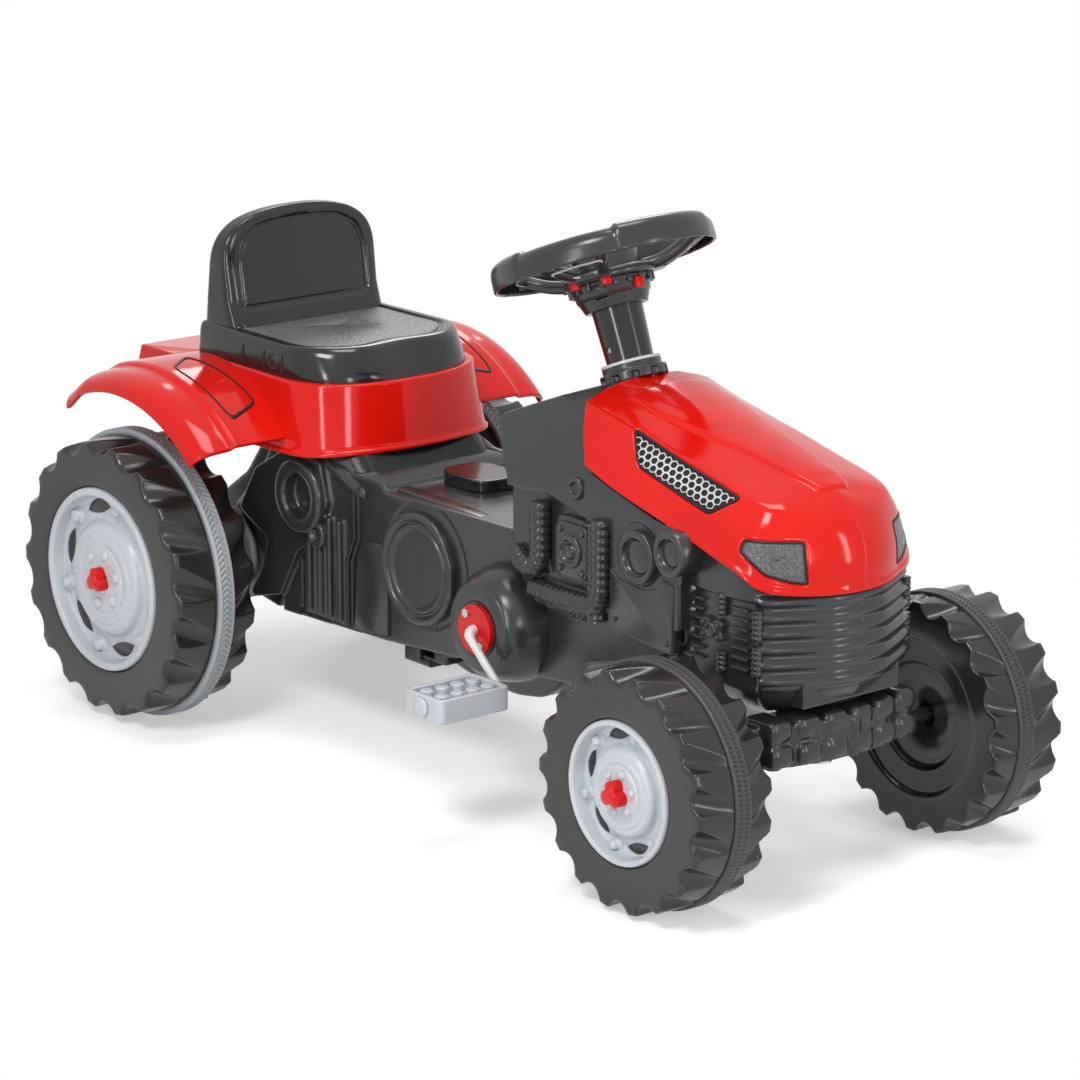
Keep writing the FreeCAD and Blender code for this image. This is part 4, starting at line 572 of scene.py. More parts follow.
def band_shape(radius, count, chevron):
    """A closed ring with a moulded tread: chevrons, or two rows of short ribs."""
    half = BAND_WIDTH / 2
    across = np.linspace(-1, 1, BAND_ROWS)
    off = np.abs(across)
    turn = full_turn(count * BAND_STEPS)
    beat = turn * count / (2 * math.pi)
    if chevron:
        lean = CHEVRON_LEAN * off
        field = 1 - ease(off, *CHEVRON_SPAN)
    else:
        lean = RIB_LEAN * across
        field = ease(off, *RIB_INNER_SPAN) * (1 - ease(off, *RIB_OUTER_SPAN))
    wave = np.cos(2 * math.pi * (beat[None] + lean[:, None]))
    cut = BAND_CUT * ease(wave, *WAVE_SPAN) * field[:, None]
    crown = radius - BAND_ROUND * ease(off, *BAND_EDGE_SPAN)[:, None] - cut
    foot = np.full((1, len(turn)), radius - BAND_DEPTH)
    reach = np.concatenate([foot, crown, foot])
    along = np.concatenate([[-half], across * half, [half]])[:, None] + 0 * reach
    return spun(reach, along, turn)


# Rim face from the hub to the lip: shares of rim radius and rim depth
RIM_SHARES = [(0.10, 0.05), (0.16, 0.05), (0.30, 0.05), (0.342, 0.055), (0.358, 0.09), (0.374, 0.115),
              (0.40, 0.10), (0.42, 0.07), (0.44, 0.062), (0.485, 0.066), (0.498, 0.095), (0.512, 0.108),
              (0.545, 0.12), (0.58, 0.16), (0.612, 0.26), (0.634, 0.38), (0.656, 0.46), (0.685, 0.495)]
RIM_WALL_SHARES = [(0.868, 0.50), (0.884, 0.47), (0.894, 0.37), (0.904, 0.17), (0.913, 0.02), (0.924, -0.05),
                   (0.945, -0.075), (0.974, -0.075), (0.991, -0.035), (0.999, 0.06), (1.0, 0.45)]
RIM_BACK_SHARES = [(1.0, 0.94), (0.90, 1.0), (0.10, 1.0)]
RIM_FLOOR = 0.50
RIM_SLOT = 0.785
RIM_SLOT_HALF = 0.080
RIM_SLOT_LEAST = 0.12
RIM_SLOT_EDGE = 0.004
RIM_SLOT_TURN = 15.0
RIM_SLOT_SPAN = 0.27
RIM_SLOT_ROUND = 0.8
SPOKES = 6
SPOKE_STEPS = 60
# Studs on the rim: profile of radius shares and heights, then place and size as shares of the rim's radius,
# foot as a share of its depth, and segments
PEG = [(1.5, 1.0), (1.5, -0.8), (1.35, -1.4), (1.0, -1.6), (1.0, -5.6), (0.8, -7.0), (0.45, -7.5)]
BOLT = [(1.0, 1.0), (1.0, -0.6), (0.85, -2.0), (0.5, -3.0), (0.15, -3.3)]
RIM_STUDS = [(PEG, 0.815, 0.066, RIM_FLOOR, 28), (BOLT, 0.285, 0.062, 0.05, 24)]
# The dark leaves behind the slots, painted shade for the hollow seen through them: share of a slot, then foot
# and face from the slots' floor
SHADE_SHARE = 0.97
SHADE_FOOT = 5.0
SHADE_FACE = 1.2


def rim_shape(width, rim_radius):
    """The pressed rim: a domed disc, leaf-shaped slots at its foot, a groove, a rolled lip and studs."""
    face = -width / 2
    turn = full_turn(SPOKES * SPOKE_STEPS)
    beat = (((turn - math.radians(RIM_SLOT_TURN)) / (2 * math.pi) * SPOKES) % 1.0) - 0.5
    leaf = np.clip(1 - (beat / RIM_SLOT_SPAN) ** 2, 0, 1) ** RIM_SLOT_ROUND

    def rings(shares):
        return [(r + 0 * turn, d + 0 * turn) for r, d in shares]

    low = RIM_SLOT - RIM_SLOT_HALF * np.maximum(leaf, RIM_SLOT_LEAST)
    high = RIM_SLOT + RIM_SLOT_HALF * np.maximum(leaf, RIM_SLOT_LEAST)
    near = RIM_FLOOR + 0 * turn
    deep = np.where(leaf > 0, 1.0, RIM_FLOOR)
    rows = rings(smooth_line(RIM_SHARES, 4))
    rows += [(low - RIM_SLOT_EDGE, near), (low, near + 0.01), (low + RIM_SLOT_EDGE, deep),
             (high - RIM_SLOT_EDGE, deep), (high, near + 0.01), (high + RIM_SLOT_EDGE, near)]
    rows += rings(smooth_line(RIM_WALL_SHARES, 4)) + rings(RIM_BACK_SHARES)
    reach = np.array([r for r, d in rows]) * rim_radius
    along = face + np.array([d for r, d in rows]) * RIM_DEPTH
    shapes = [spun(reach, along, turn)]
    for i in range(SPOKES):
        way = math.radians(RIM_SLOT_TURN) + 2 * math.pi * i / SPOKES
        for profile, place, size, depth, segments in RIM_STUDS:
            out = place * rim_radius
            spot = (out * math.cos(way), face + depth * RIM_DEPTH, out * math.sin(way))
            shapes.append(lathe([(r * size * rim_radius, h) for r, h in profile], spot, (0, 1, 0), segments))
    return shapes


def slot_shade_plates(width, rim_radius):
    """Dark leaves in the tyre's plastic behind the rim's slots, standing in for the hollow seen through them:
    the tyre's own dark colour with painted shade.
    """
    shapes = []
    pitch = 360 / SPOKES
    back = width / 2 - RIM_FLOOR * RIM_DEPTH
    span = np.linspace(-1, 1, 17)
    half = RIM_SLOT_HALF * np.maximum(1 - span ** 2, 0.02) ** RIM_SLOT_ROUND * SHADE_SHARE
    for i in range(SPOKES):
        turn = np.radians(RIM_SLOT_TURN + pitch * (i + 0.5) + pitch * RIM_SLOT_SPAN * span)
        ring = np.stack([np.cos(turn), np.sin(turn)], axis=1)
        outer = (RIM_SLOT + half)[:, None] * ring
        inner = (RIM_SLOT - half)[:, None] * ring
        outline = np.concatenate([outer, inner[::-1]]) * rim_radius
        shapes.append(plate(outline, back - SHADE_FOOT, back - SHADE_FACE, on_right, 0.3))
    return shapes


def wheel(end, side, body, radius, width, rim_radius, lift, band_count):
    tag = "_" + end + "_" + side
    node = end + "_%s_" + side
    place = (np.array(middle(node % "tyre")) - SHIFT) / MM
    rear = end == "rear"

    def add(name, shapes, material, slot, part):
        shaped(name + tag, for_side(shapes, side), material, body, slot, [node % part], place)

    tyre = tyre_shape(radius, width, rim_radius, lift)
    # The tyre carries the dark leaves that paint the shade inside the rim's open slots
    add("tyre", [tyre] + slot_shade_plates(width, rim_radius), TYRE, "tyre_plastic", "tyre")
    band = band_shape(radius, band_count, rear)
    add("band", [band], BAND if rear else DARK_BAND, "rear_band" if rear else "front_band", "traction_band")
    add("rim", rim_shape(width, rim_radius), PALE, "light_grey_plastic", "rim")
    cap = moulded("cap" + tag, [cad_mesh(node % "hub_cap")], 0.6, 12)
    piece("hub_cap" + tag, cap, CAP, body, "cap_red", [node % "hub_cap"])


def wheels():
    for side in ("right", "left"):
        wheel("rear", side, "rear_axle" if side == "right" else "rear_wheel_left", *REAR_WHEEL)
        wheel("front", side, "front_wheel_" + side, *FRONT_WHEEL)


# Hood

# Stations of the hood: lower edge, crease, shoulder and middle of the top as (x, half width, z), and bulge
HOOD_STATIONS = [
    ((529, 100, 353), (529, 70, 388), (529, 40, 397), (529, 0, 401), 2.0),
    ((600, 101, 327), (600, 70, 371), (600, 35, 384), (600, 0, 388), 2.5),
    ((651, 101, 314), (651, 70, 361), (651, 28, 373), (651, 0, 376), 2.5),
    ((700, 100, 301), (700, 70, 350), (698, 25, 362.5), (698, 0, 365), 2.5),
    ((738, 97.5, 289), (737, 70, 342), (733, 24, 354), (733, 0, 357), 3.0),
    ((757, 94, 281), (754, 68, 338.5), (750, 23, 350), (750, 0, 352.5), 4.0),
    ((771, 87, 271), (766, 63, 336), (760, 21, 347), (759, 0, 349), 5.0),
    ((781, 76, 267), (774, 55, 333.5), (766, 18, 345), (765, 0, 347), 5.5),
    ((792, 56, 264.5), (784, 41, 330.5), (773, 13, 342), (769, 0, 345.5), 6.0),
    ((804, 32, 264), (793, 23, 327.5), (779, 8, 340), (772, 0, 344), 6.0),
    ((810, 0, 264), (797, 0, 326), (783, 0, 339), (774, 0, 343.5), 6.0)]
# Places between lower edge and crease, and shares of the bulge there
BULGE_SHARES = [(0.36, 1.0), (0.72, 0.95)]
# Runs of a station that are smooth in themselves: first and last point, and count of columns
HOOD_RUNS = [(0, 3, 48), (3, 7, 80), (7, 10, 48)]
HOOD_DENSE = 480
HOOD_ROWS = 260
# Rounds of softening, with more of them at the front
HOOD_SOFT = 10
HOOD_FRONT_SOFT = 34
HOOD_FRONT_SPAN = (735, 768)
MIRROR_ROWS = 80
HOOD_BACK = ((578.4, 318.0), (491.0, 438.0))
HOOD_WALL = 3.0
VENT = [(590.4, 373.9), (615.9, 347.7), (707.7, 323.8), (732.9, 340.2)]
VENT_SIDE = 50
# The headlight as seen along the diagonal: (x less half width) over the root of two, and z
LAMP_CORNER = [(467, 301), (471, 311), (522, 310), (526, 274), (513, 275.5), (489, 283)]
LAMP_BACK = 735
PANEL_HALF = [(556, 45), (590, 45), (625, 40), (690, 28), (745, 21), (767, 16), (771, 12)]
PANEL = [(x, -y) for x, y in PANEL_HALF] + PANEL_HALF[::-1]
PANEL_RISE = 2.6
PANEL_EDGE = (-2.0, 2.0)
PANEL_LOW = 325
FIELD_SINK = 2.6
FIELD_EDGE = (-1.2, 0.2)
FIELD_POINTS = 120
# Foot and top of the fields' plates, then width, foot and top of their borders, from the hood's surface
VENT_LIFTS = (-2.4, -1.3)
LAMP_LIFTS = (-2.4, -0.3)
VENT_FRAME = (1.4, -2.0, -0.1)
LAMP_FRAME = (1.8, -2.0, 0.2)
LIP_RISE = 1.5
LIP_SPAN = (4.5, 6.3)
DIAGONAL = math.sqrt(2)
# Where rays towards the hood start
FAR_SIDE = 300.0
FAR_CORNER = 1500.0


def hood_station(low, crease, shoulder, top, bulge):
    """One cross-section of the hood from the right lower edge over the top to the left one."""
    low, crease, shoulder, top = (np.array(p, float) for p in (low, crease, shoulder, top))
    out = (low - top) * np.array([1.0, 1.0, 0.0])
    out /= np.linalg.norm(out)
    bulges = [low + share * (crease - low) + size * bulge * out for share, size in BULGE_SHARES]
    half = np.array([low, *bulges, crease, shoulder, top])
    right = half * np.array([1, -1, 1])
    return np.concatenate([right, half[-2::-1]])


def hood_rows():
    """The hood's smooth outer surface as a grid of points, cut back along its slanting rear edge."""
    table = np.array([hood_station(*station) for station in HOOD_STATIONS])
    table = np.concatenate([table, table[-2:-4:-1, ::-1]])
    step = np.linalg.norm(np.diff(table, axis=0), axis=2).mean(axis=1)
    knots = np.concatenate([[0], np.cumsum(step)])
    at = np.linspace(0, knots[len(HOOD_STATIONS) - 1], HOOD_DENSE)
    rows = spline(knots, table.reshape(len(table), -1), at).reshape(HOOD_DENSE, -1, 3)
    parts = []
    for first, last, count in HOOD_RUNS:
        control = rows[:, first:last + 1].transpose(1, 0, 2).reshape(last - first + 1, -1)
        at = np.linspace(0, last - first, count, endpoint=last == rows.shape[1] - 1)
        line = spline(np.arange(last - first + 1.0), control, at)
        parts.append(line.reshape(len(at), HOOD_DENSE, 3))
    surface = np.concatenate(parts).transpose(1, 0, 2)
    (x0, z0), (x1, z1) = HOOD_BACK
    ahead = surface[:, :, 0] - (x0 + (surface[:, :, 2] - z0) * (x1 - x0) / (z1 - z0))
    grid = np.empty((HOOD_ROWS, surface.shape[1], 3))
    for j in range(surface.shape[1]):
        begin = int(np.argmax(ahead[:, j] >= 0))
        at = np.linspace(begin, HOOD_DENSE - 1, HOOD_ROWS)
        for k in range(3):
            grid[:, j, k] = np.interp(at, np.arange(HOOD_DENSE), surface[:, j, k])
    soft = softened(grid, HOOD_SOFT)
    softer = softened(grid, HOOD_FRONT_SOFT)
    return soft + (softer - soft) * ease(grid[:, :, :1], *HOOD_FRONT_SPAN)


def grid_normals(grid):
    normal = np.cross(np.gradient(grid, axis=0), np.gradient(grid, axis=1))
    size = np.linalg.norm(normal, axis=2)
    normal /= np.maximum(size, TINY)[:, :, None]
    normal[size < SMALL] = (1.0, 0.0, 0.0)
    return normal


def softened(grid, rounds):
    """Ease the grid's ridges, keeping its borders; the front row has its mirror image beyond it."""
    work = np.concatenate([grid, grid[-2:-MIRROR_ROWS:-1, ::-1]])
    for _ in range(rounds):
        around = (work[:-2, 1:-1] + work[2:, 1:-1] + work[1:-1, :-2] + work[1:-1, 2:]) / 4
        work[1:-1, 1:-1] = (work[1:-1, 1:-1] + around) / 2
    return work[:len(grid)]


def sheet_shape(grid, normal, wall):
    """A closed shell of a given wall under a grid."""
    rows, cols = grid.shape[:2]
    under = grid - wall * normal
    points = np.concatenate([grid.reshape(-1, 3), under.reshape(-1, 3)])
    top = grid_faces(rows, cols)
    base = rows * cols
    faces = top + [[base + i for i in face[::-1]] for face in top]
    border = list(range(cols)) + [i * cols + cols - 1 for i in range(1, rows)]
    border += [(rows - 1) * cols + j for j in range(cols - 2, -1, -1)]
    border += [i * cols for i in range(rows - 2, 0, -1)]
    for k in range(len(border)):
        a = border[k]
        b = border[(k + 1) % len(border)]
        faces.append([a, base + a, base + b, b])
    return points, faces


def hood():
    """The red hood with its raised panel and the seats of vents and headlights; returns its bare surface."""
    grid = hood_rows()
    normal = grid_normals(grid)
    flat = grid.reshape(-1, 3)
    side = np.abs(flat[:, 1])
    rise = PANEL_RISE * ease(inside_depth(flat[:, [0, 1]], PANEL), *PANEL_EDGE) * (flat[:, 2] > PANEL_LOW)
    corners = np.stack([(flat[:, 0] - side) / DIAGONAL, flat[:, 2]], axis=1)
    vent = ease(inside_depth(flat[:, [0, 2]], rounded(VENT, 5)), *FIELD_EDGE) * (side > VENT_SIDE)
    lamp_seat = ease(inside_depth(corners, rounded(LAMP_CORNER, 4)), *FIELD_EDGE) * (flat[:, 0] > LAMP_BACK)
    rise -= FIELD_SINK * np.maximum(vent, lamp_seat)
    step = np.linalg.norm(np.diff(grid, axis=1), axis=2)
    along = np.cumsum(np.concatenate([np.zeros((len(grid), 1)), step], axis=1), axis=1)
    edge = np.minimum(along, along[:, -1:] - along).reshape(-1)
    rise += LIP_RISE * (1 - ease(edge, *LIP_SPAN))
    raised = grid + rise.reshape(grid.shape[:2])[:, :, None] * normal
    shaped("hood_skin", [sheet_shape(raised, normal, HOOD_WALL)], RED, "chassis", "red_plastic", ["hood"])
    return BVHTree.FromPolygons([Vector(p) for p in flat], grid_faces(*grid.shape[:2]))


def cast(tree, start, way, lift):
    """A place over the hood where a ray meets it, lifted along the surface's outward direction."""
    spot, normal = tree.ray_cast(Vector(start), Vector(way))[:2]
    if spot is None:
        spot, normal = tree.find_nearest(Vector(start))[:2]
    if normal.dot(Vector(way)) > 0:
        normal = -normal
    return np.array(spot) + lift * np.array(normal)


def on_side(tree):
    """Lift for details on the hood's right side: (x, z, height)."""
    return lambda x, z, lift: cast(tree, (x, -FAR_SIDE, z), (0, 1, 0), lift)


def on_corner(tree):
    """Lift for details on the hood's right front corner, looking along the diagonal."""
    way = (-1 / DIAGONAL, 1 / DIAGONAL, 0)

    def put(q, z, lift):
        start = ((q + FAR_CORNER) / DIAGONAL, (q - FAR_CORNER) / DIAGONAL, z)
        return cast(tree, start, way, lift)

    return put


def field_plate(outline, put, low, high):
    """A thin closed plate over a field of the hood, following its surface."""
    line = even_line(outline, FIELD_POINTS, True)
    centre = line.mean(axis=0)
    rows = []
    for share, lift in ((0.02, low), (0.5, low), (1.0, low), (1.0, high - 0.5), (0.985, high), (0.85, high),
                        (0.65, high), (0.45, high), (0.25, high), (0.02, high)):
        rows.append([put(a, b, lift) for a, b in shrunk(line, centre, share)])
    return ring_shape(rows)


def frame_strip(outline, put, width, low, high):
    """A thin raised border round a field of the hood."""
    line = even_line(outline, FIELD_POINTS, True)
    inner = line + inward_of(line) * width
    rows = []
    for flat, lift in ((line, low), (line, high), (inner, high), (inner, low)):
        rows.append([put(a, b, lift) for a, b in flat])
    return ring_shape(rows)


# The vent's cells: pitch, half height, walls along and across, and how near the field's edge they may come
CELL_PITCH = 8.4
CELL_HALF = 3.27
CELL_WALL = (0.80, 0.66)
CELL_MARGIN = 1.6
CELL_EDGE = 0.6
CELL_LIFTS = (-1.4, -0.3)
CELL_ROWS = 9
CELL_COLS = 11
# How corners past the field's edge are pulled in: distance for a whole pull, and the most of it
CELL_PULL = 40
CELL_PULL_MOST = 0.12


def honeycomb(put):
    """The vent's silver lattice: hexagon rings that share their sides."""
    field = np.array(VENT, float)
    along = field[3] - field[0]
    along /= np.linalg.norm(along)
    up = np.array([-along[1], along[0]])
    wide = np.array([CELL_PITCH / math.sqrt(3), CELL_HALF])
    hole = wide - np.array(CELL_WALL)
    centre = field.mean(axis=0)
    low, high = CELL_LIFTS
    shapes = []
    angles = np.radians(np.arange(6) * 60 + 30)
    star = np.stack([np.cos(angles), np.sin(angles)], axis=1)
    for row in range(-CELL_ROWS, CELL_ROWS + 1):
        for col in range(-CELL_COLS, CELL_COLS + 1):
            shift = 0.5 * CELL_PITCH * (row % 2)
            spot = centre + along * (col * CELL_PITCH + shift) + up * row * CELL_HALF * 1.5
            if inside_depth(spot[None], field)[0] < CELL_MARGIN:
                continue
            rings = []
            for size, lift in ((wide, low), (wide, high), (hole, high), (hole, low)):
                ring = spot + size[0] * star[:, :1] * along + size[1] * star[:, 1:] * up
                short = (CELL_EDGE - inside_depth(ring, field))[:, None]
                ring = ring + (centre - ring) * np.clip(short / CELL_PULL, 0, CELL_PULL_MOST)
                rings.append([put(x, z, lift) for x, z in ring])
            shapes.append(ring_shape(rings))
    return shapes


def hood_fittings(tree):
    vent = rounded(VENT, 3)
    corner = rounded(LAMP_CORNER, 3)
    side_lift = on_side(tree)
    corner_lift = on_corner(tree)
    backing = [field_plate(vent, side_lift, *VENT_LIFTS), frame_strip(vent, side_lift, *VENT_FRAME)]
    lattice = honeycomb(side_lift)
    glass = [field_plate(corner, corner_lift, *LAMP_LIFTS)]
    surround = [frame_strip(corner, corner_lift, *LAMP_FRAME)]
    for side in ("right", "left"):
        for name, shapes, material, slot, nodes in (
                ("vent_back_", backing, BLACK, "vent_black", ["hood_vent_" + side]),
                ("vent_lattice_", lattice, SILVER, "light_grey_plastic", ()),
                ("lamp_", glass, LAMP, "lamp_grey", ["headlight_" + side]),
                ("lamp_frame_", surround, BLACK, "vent_black", ())):
            shaped(name + side, for_side(shapes, side), material, "chassis", slot, nodes)


# Rear body

# Half outlines of the tub at its foot and top, then heights of foot and top along it
TUB_LOW = [(-132, 0), (-132, 90), (-118, 100), (57, 112.5), (125, 113), (150, 111), (172, 102), (189, 84),
           (200, 56), (206, 24), (207, 0)]
TUB_HIGH = [(-126, 0), (-126, 88), (-112, 95), (57, 101), (118, 104.5), (140, 103.5), (160, 96), (178, 78),
            (190, 50), (196, 22), (197, 0)]
TUB_FOOT = ([-135, -63, 89, 161, 207], [303, 289, 271, 271, 275])
TUB_TOP = ([-135, -45, -24, 207], [329, 330, 339, 339])
# Rows of the lip below the skirt: inset and rise
TUB_LIP = [(-1.0, 0.0), (-1.6, 1.0), (-1.4, 3.4), (0.0, 4.2)]
TUB_TOP_SHARES = [0.7, 0.35, 0.02]
TUB_WALL = 3.5
TUB_EDGE = 2.5
TUB_FLARE = 1.15
TUB_POINTS = 160
TUB_MIDDLE = np.array([60.0, 0.0])
# The fender's section: distance from the middle plane and from the rear axle
FENDER = [(84, 199.5), (104, 201), (160, 201.5), (170, 200.5), (174, 197.5), (178, 196.6), (192, 195),
          (203, 191), (209.5, 185), (212, 178)]
FENDER_FRONT = 47.0
FENDER_REAR = 119.0
FENDER_ROOT_REAR = 104.0
FENDER_WALL = 3.6
FENDER_ROOT = 96.0
FENDER_SPAN = 116.0
TAIL_BEND = 0.7
TAIL_DROP = 7.0
FRAME_FIELD = [(118, 60), (158, 55), (160, 84), (124, 92)]
FRAME_ROWS = [(1.0, 0.0), (1.0, 0.9), (0.93, 0.9), (0.93, 0.0)]
FRAME_RADIUS = 201.3


def ring_line(points, count):
    """A closed even ring from a half outline, eased at its corners."""
    half = even_line(smooth_line(points, 8), count)
    ring = np.concatenate([half, (half * np.array([1, -1]))[-2:0:-1]])
    for _ in range(6):
        ring = (np.roll(ring, 1, axis=0) + 2 * ring + np.roll(ring, -1, axis=0)) / 4
    return ring


def tub_shape():
    """The tub as a closed cup: flared skirt with a lip, rounded upper edge, flat top and an inner wall."""
    low = ring_line(TUB_LOW, TUB_POINTS)
    high = ring_line(TUB_HIGH, TUB_POINTS)

    def level(flat, share, drop, rise=0.0):
        base = np.interp(flat[:, 0], *TUB_FOOT)
        top = np.interp(flat[:, 0], *TUB_TOP) - drop
        return np.column_stack([flat, base + (top - base) * share + rise])

    def ring(share):
        return high + (low - high) * (1 - share) ** TUB_FLARE

    rows = [level(drawn_in(low, TUB_MIDDLE, inset), 0.0, TUB_EDGE, rise) for inset, rise in TUB_LIP]
    rows += [level(ring(share), share, TUB_EDGE) for share in np.linspace(0.09, 1, 18)]
    for turn in np.linspace(0, math.pi / 2, 6)[1:]:
        inset = TUB_EDGE * (1 - math.cos(turn))
        rows.append(level(drawn_in(high, TUB_MIDDLE, inset), 1.0, TUB_EDGE * (1 - math.sin(turn))))
    rows += [level(shrunk(high, TUB_MIDDLE, share), 1.0, 0.0) for share in TUB_TOP_SHARES]
    rows += [level(shrunk(high, TUB_MIDDLE, share), 1.0, TUB_WALL) for share in TUB_TOP_SHARES[::-1]]
    for share in np.linspace(1, 0, 14):
        rows.append(level(drawn_in(ring(share), TUB_MIDDLE, TUB_WALL), share, TUB_EDGE + TUB_WALL))
    return ring_shape(rows)


def fender_place(across, angle, radius):
    turn = np.radians(angle)
    return np.stack([radius * np.cos(turn), -across, AXLE_HEIGHT + radius * np.sin(turn)], axis=-1)


def fender_shape():
    """The right fender: an arched blade with a raised field, a step, a rolled lip and a slanting tail."""
    top = smooth_line(FENDER, 8)
    way = directions(top)
    inward = np.stack([way[:, 1], -way[:, 0]], axis=1)
    section = np.concatenate([top, (top + FENDER_WALL * inward)[::-1]])
    reach = np.clip((section[:, 0] - FENDER_ROOT) / FENDER_SPAN, 0, 1)
    stop = FENDER_ROOT_REAR + (FENDER_REAR - FENDER_ROOT_REAR) * reach ** TAIL_BEND
    rows = []
    for share in np.linspace(0, 1, 110):
        angle = FENDER_FRONT + (stop - FENDER_FRONT) * share
        radius = section[:, 1] - TAIL_DROP * ease(share, 0.84, 1.0) * reach
        rows.append(fender_place(section[:, 0], angle, radius))
    faces = grid_faces(len(rows), len(section), False, True)
    count = len(section)
    for ring in (0, len(rows) - 1):
        for i in range(count // 2 - 1):
            faces.append([ring * count + k for k in (i, i + 1, count - 2 - i, count - 1 - i)])
    return np.concatenate(rows), faces


def fender_frame():
    """A thin plain frame on the fender's raised field."""
    line = even_line(rounded(FRAME_FIELD, 6), 140, True)
    centre = line.mean(axis=0)
    rows = []
    for share, lift in FRAME_ROWS:
        flat = shrunk(line, centre, share)
        rows.append(fender_place(flat[:, 0], flat[:, 1], FRAME_RADIUS + lift + 0 * flat[:, 0]))
    return ring_shape(rows)


def rear_body():
    shapes = [tub_shape()] + both([fender_shape()])
    shaped("rear_body_skin", shapes, RED, "chassis", "red_plastic", ["rear_body"])
    shaped("fender_frames", both([fender_frame()]), BLACK, "chassis", "vent_black")


# Seat

SEAT_PLAN = [(-30, 0), (-30, 86), (-22, 95), (40, 98.5), (105, 99), (130, 97.5), (150, 92), (166, 82),
             (178, 67), (186, 45), (190, 22), (191, 0)]
SEAT_POINTS = 150
SEAT_FOOT = 338.0
SEAT_TOP = 370.0
SEAT_HIGH = SEAT_TOP - SEAT_FOOT
SEAT_MIDDLE = np.array([70.0, 0.0])
# The seat's side from foot to sunk panel: inset and height
SEAT_ROWS = [(1.0, 0.0), (0.0, 1.5), (0.8, 10.0), (1.6, 23.0), (2.6, 28.0), (4.6, 30.8), (7.5, 32.0),
             (12.0, 32.0), (14.0, 31.7), (15.0, 30.2), (17.0, 29.8)]
PANEL_INSET = 17.0
PANEL_SINK = 2.6
# How the seat's front leans back: where it starts and ends, how far, and its wave
LEAN_SPAN = (115, 188)
LEAN = 17.0
LEAN_WAVE = 4.5
LEAN_TURN = 1.7 * math.pi / 95
# The pad's rows: share of its outline and height from the seat's top
PAD_ROWS = [(1.0, -3.0), (1.0, -1.6), (0.985, -1.1), (0.5, -1.4), (0.02, -1.5), (0.02, -3.0)]
PAD_INSET = 19.0
PAD_BACK = 26.0
SEAT_RIBS = (50.0, 84.0, 113.0)
SEAT_RIB_HALF = 1.4
SEAT_RIB_SPAN = (341, 360)
SEAT_RIB_FACE = 98.9
SEAT_WELL_SPOT = (99.0, 351.0)
SEAT_WELL = [(7.5, 90), (7.5, 98.2), (7, 98.8), (6, 98.8), (5.6, 98), (5.2, 94), (0.5, 94)]
# The backrest: half width, foot and rise, then its rear and front faces by level
BACK_HALF = 91.0
BACK_SINK = 20.0
BACK_RISE = 127.0
BACK_REAR = ([0, 0.15, 0.92, 1.0], [-30, -28, -11, -6])
BACK_FRONT = ([0, 0.16, 0.34, 0.95, 1.0], [32, 30, 21, 9, 4])
BACK_POINTS = 220
BACK_LEVELS = 110
BACK_CROWDING = 1.6
# The panel's step and the field inside it: depths from the outline, then how far they sink
STEP_SPAN = (-1.5, 1.0)
FIELD_SPAN = (3.0, 6.0)
STEP_DEPTH = 3.0
FIELD_SHARE = 0.55
BACK_SQUARENESS = 0.28
ARCH_START = 0.58
ARCH_POWER = 2.7
BACK_PANEL = [(-76, 384), (76, 384), (77, 430), (70, 452), (48, 464), (0, 469), (-48, 464), (-70, 452),
              (-77, 430)]


def seat_ring(plan, inset, rise):
    """The seat's outline at a height, drawn in, with its front leaning back and waved at the top."""
    lean = (LEAN + LEAN_WAVE * np.cos(plan[:, 1] * LEAN_TURN)) * ease(plan[:, 0], *LEAN_SPAN) * rise
    return drawn_in(plan, SEAT_MIDDLE, inset) - np.stack([lean, 0 * lean], axis=1)


def seat_base():
    """The seat's base: glossy side, rolled edge, border and a sunk panel with a wavy front."""
    plan = ring_line(SEAT_PLAN, SEAT_POINTS)
    rows = []
    for inset, height in SEAT_ROWS:
        rows.append(at_height(seat_ring(plan, inset, height / SEAT_HIGH), SEAT_FOOT + height))
    panel = seat_ring(plan, PANEL_INSET, 1.0)
    level = SEAT_TOP - PANEL_SINK
    rows += [at_height(shrunk(panel, SEAT_MIDDLE, share), level) for share in (0.8, 0.4, 0.02)]
    rows += [at_height(shrunk(plan, SEAT_MIDDLE, share), SEAT_FOOT) for share in (0.02, 0.9)]
    return ring_shape(rows)


def seat_details():
    """Low ribs and a screw well on the seat's right side."""
    shapes = []
    for x in SEAT_RIBS:
        rib = oblong(x - SEAT_RIB_HALF, x + SEAT_RIB_HALF, *SEAT_RIB_SPAN)
        shapes.append(side_plate(rib, 90, SEAT_RIB_FACE, 1, 0.6))
    shapes.append(side_lathe(SEAT_WELL, *SEAT_WELL_SPOT, 32))
    return shapes


def squared(wave):
    return np.sign(wave) * np.abs(wave) ** BACK_SQUARENESS


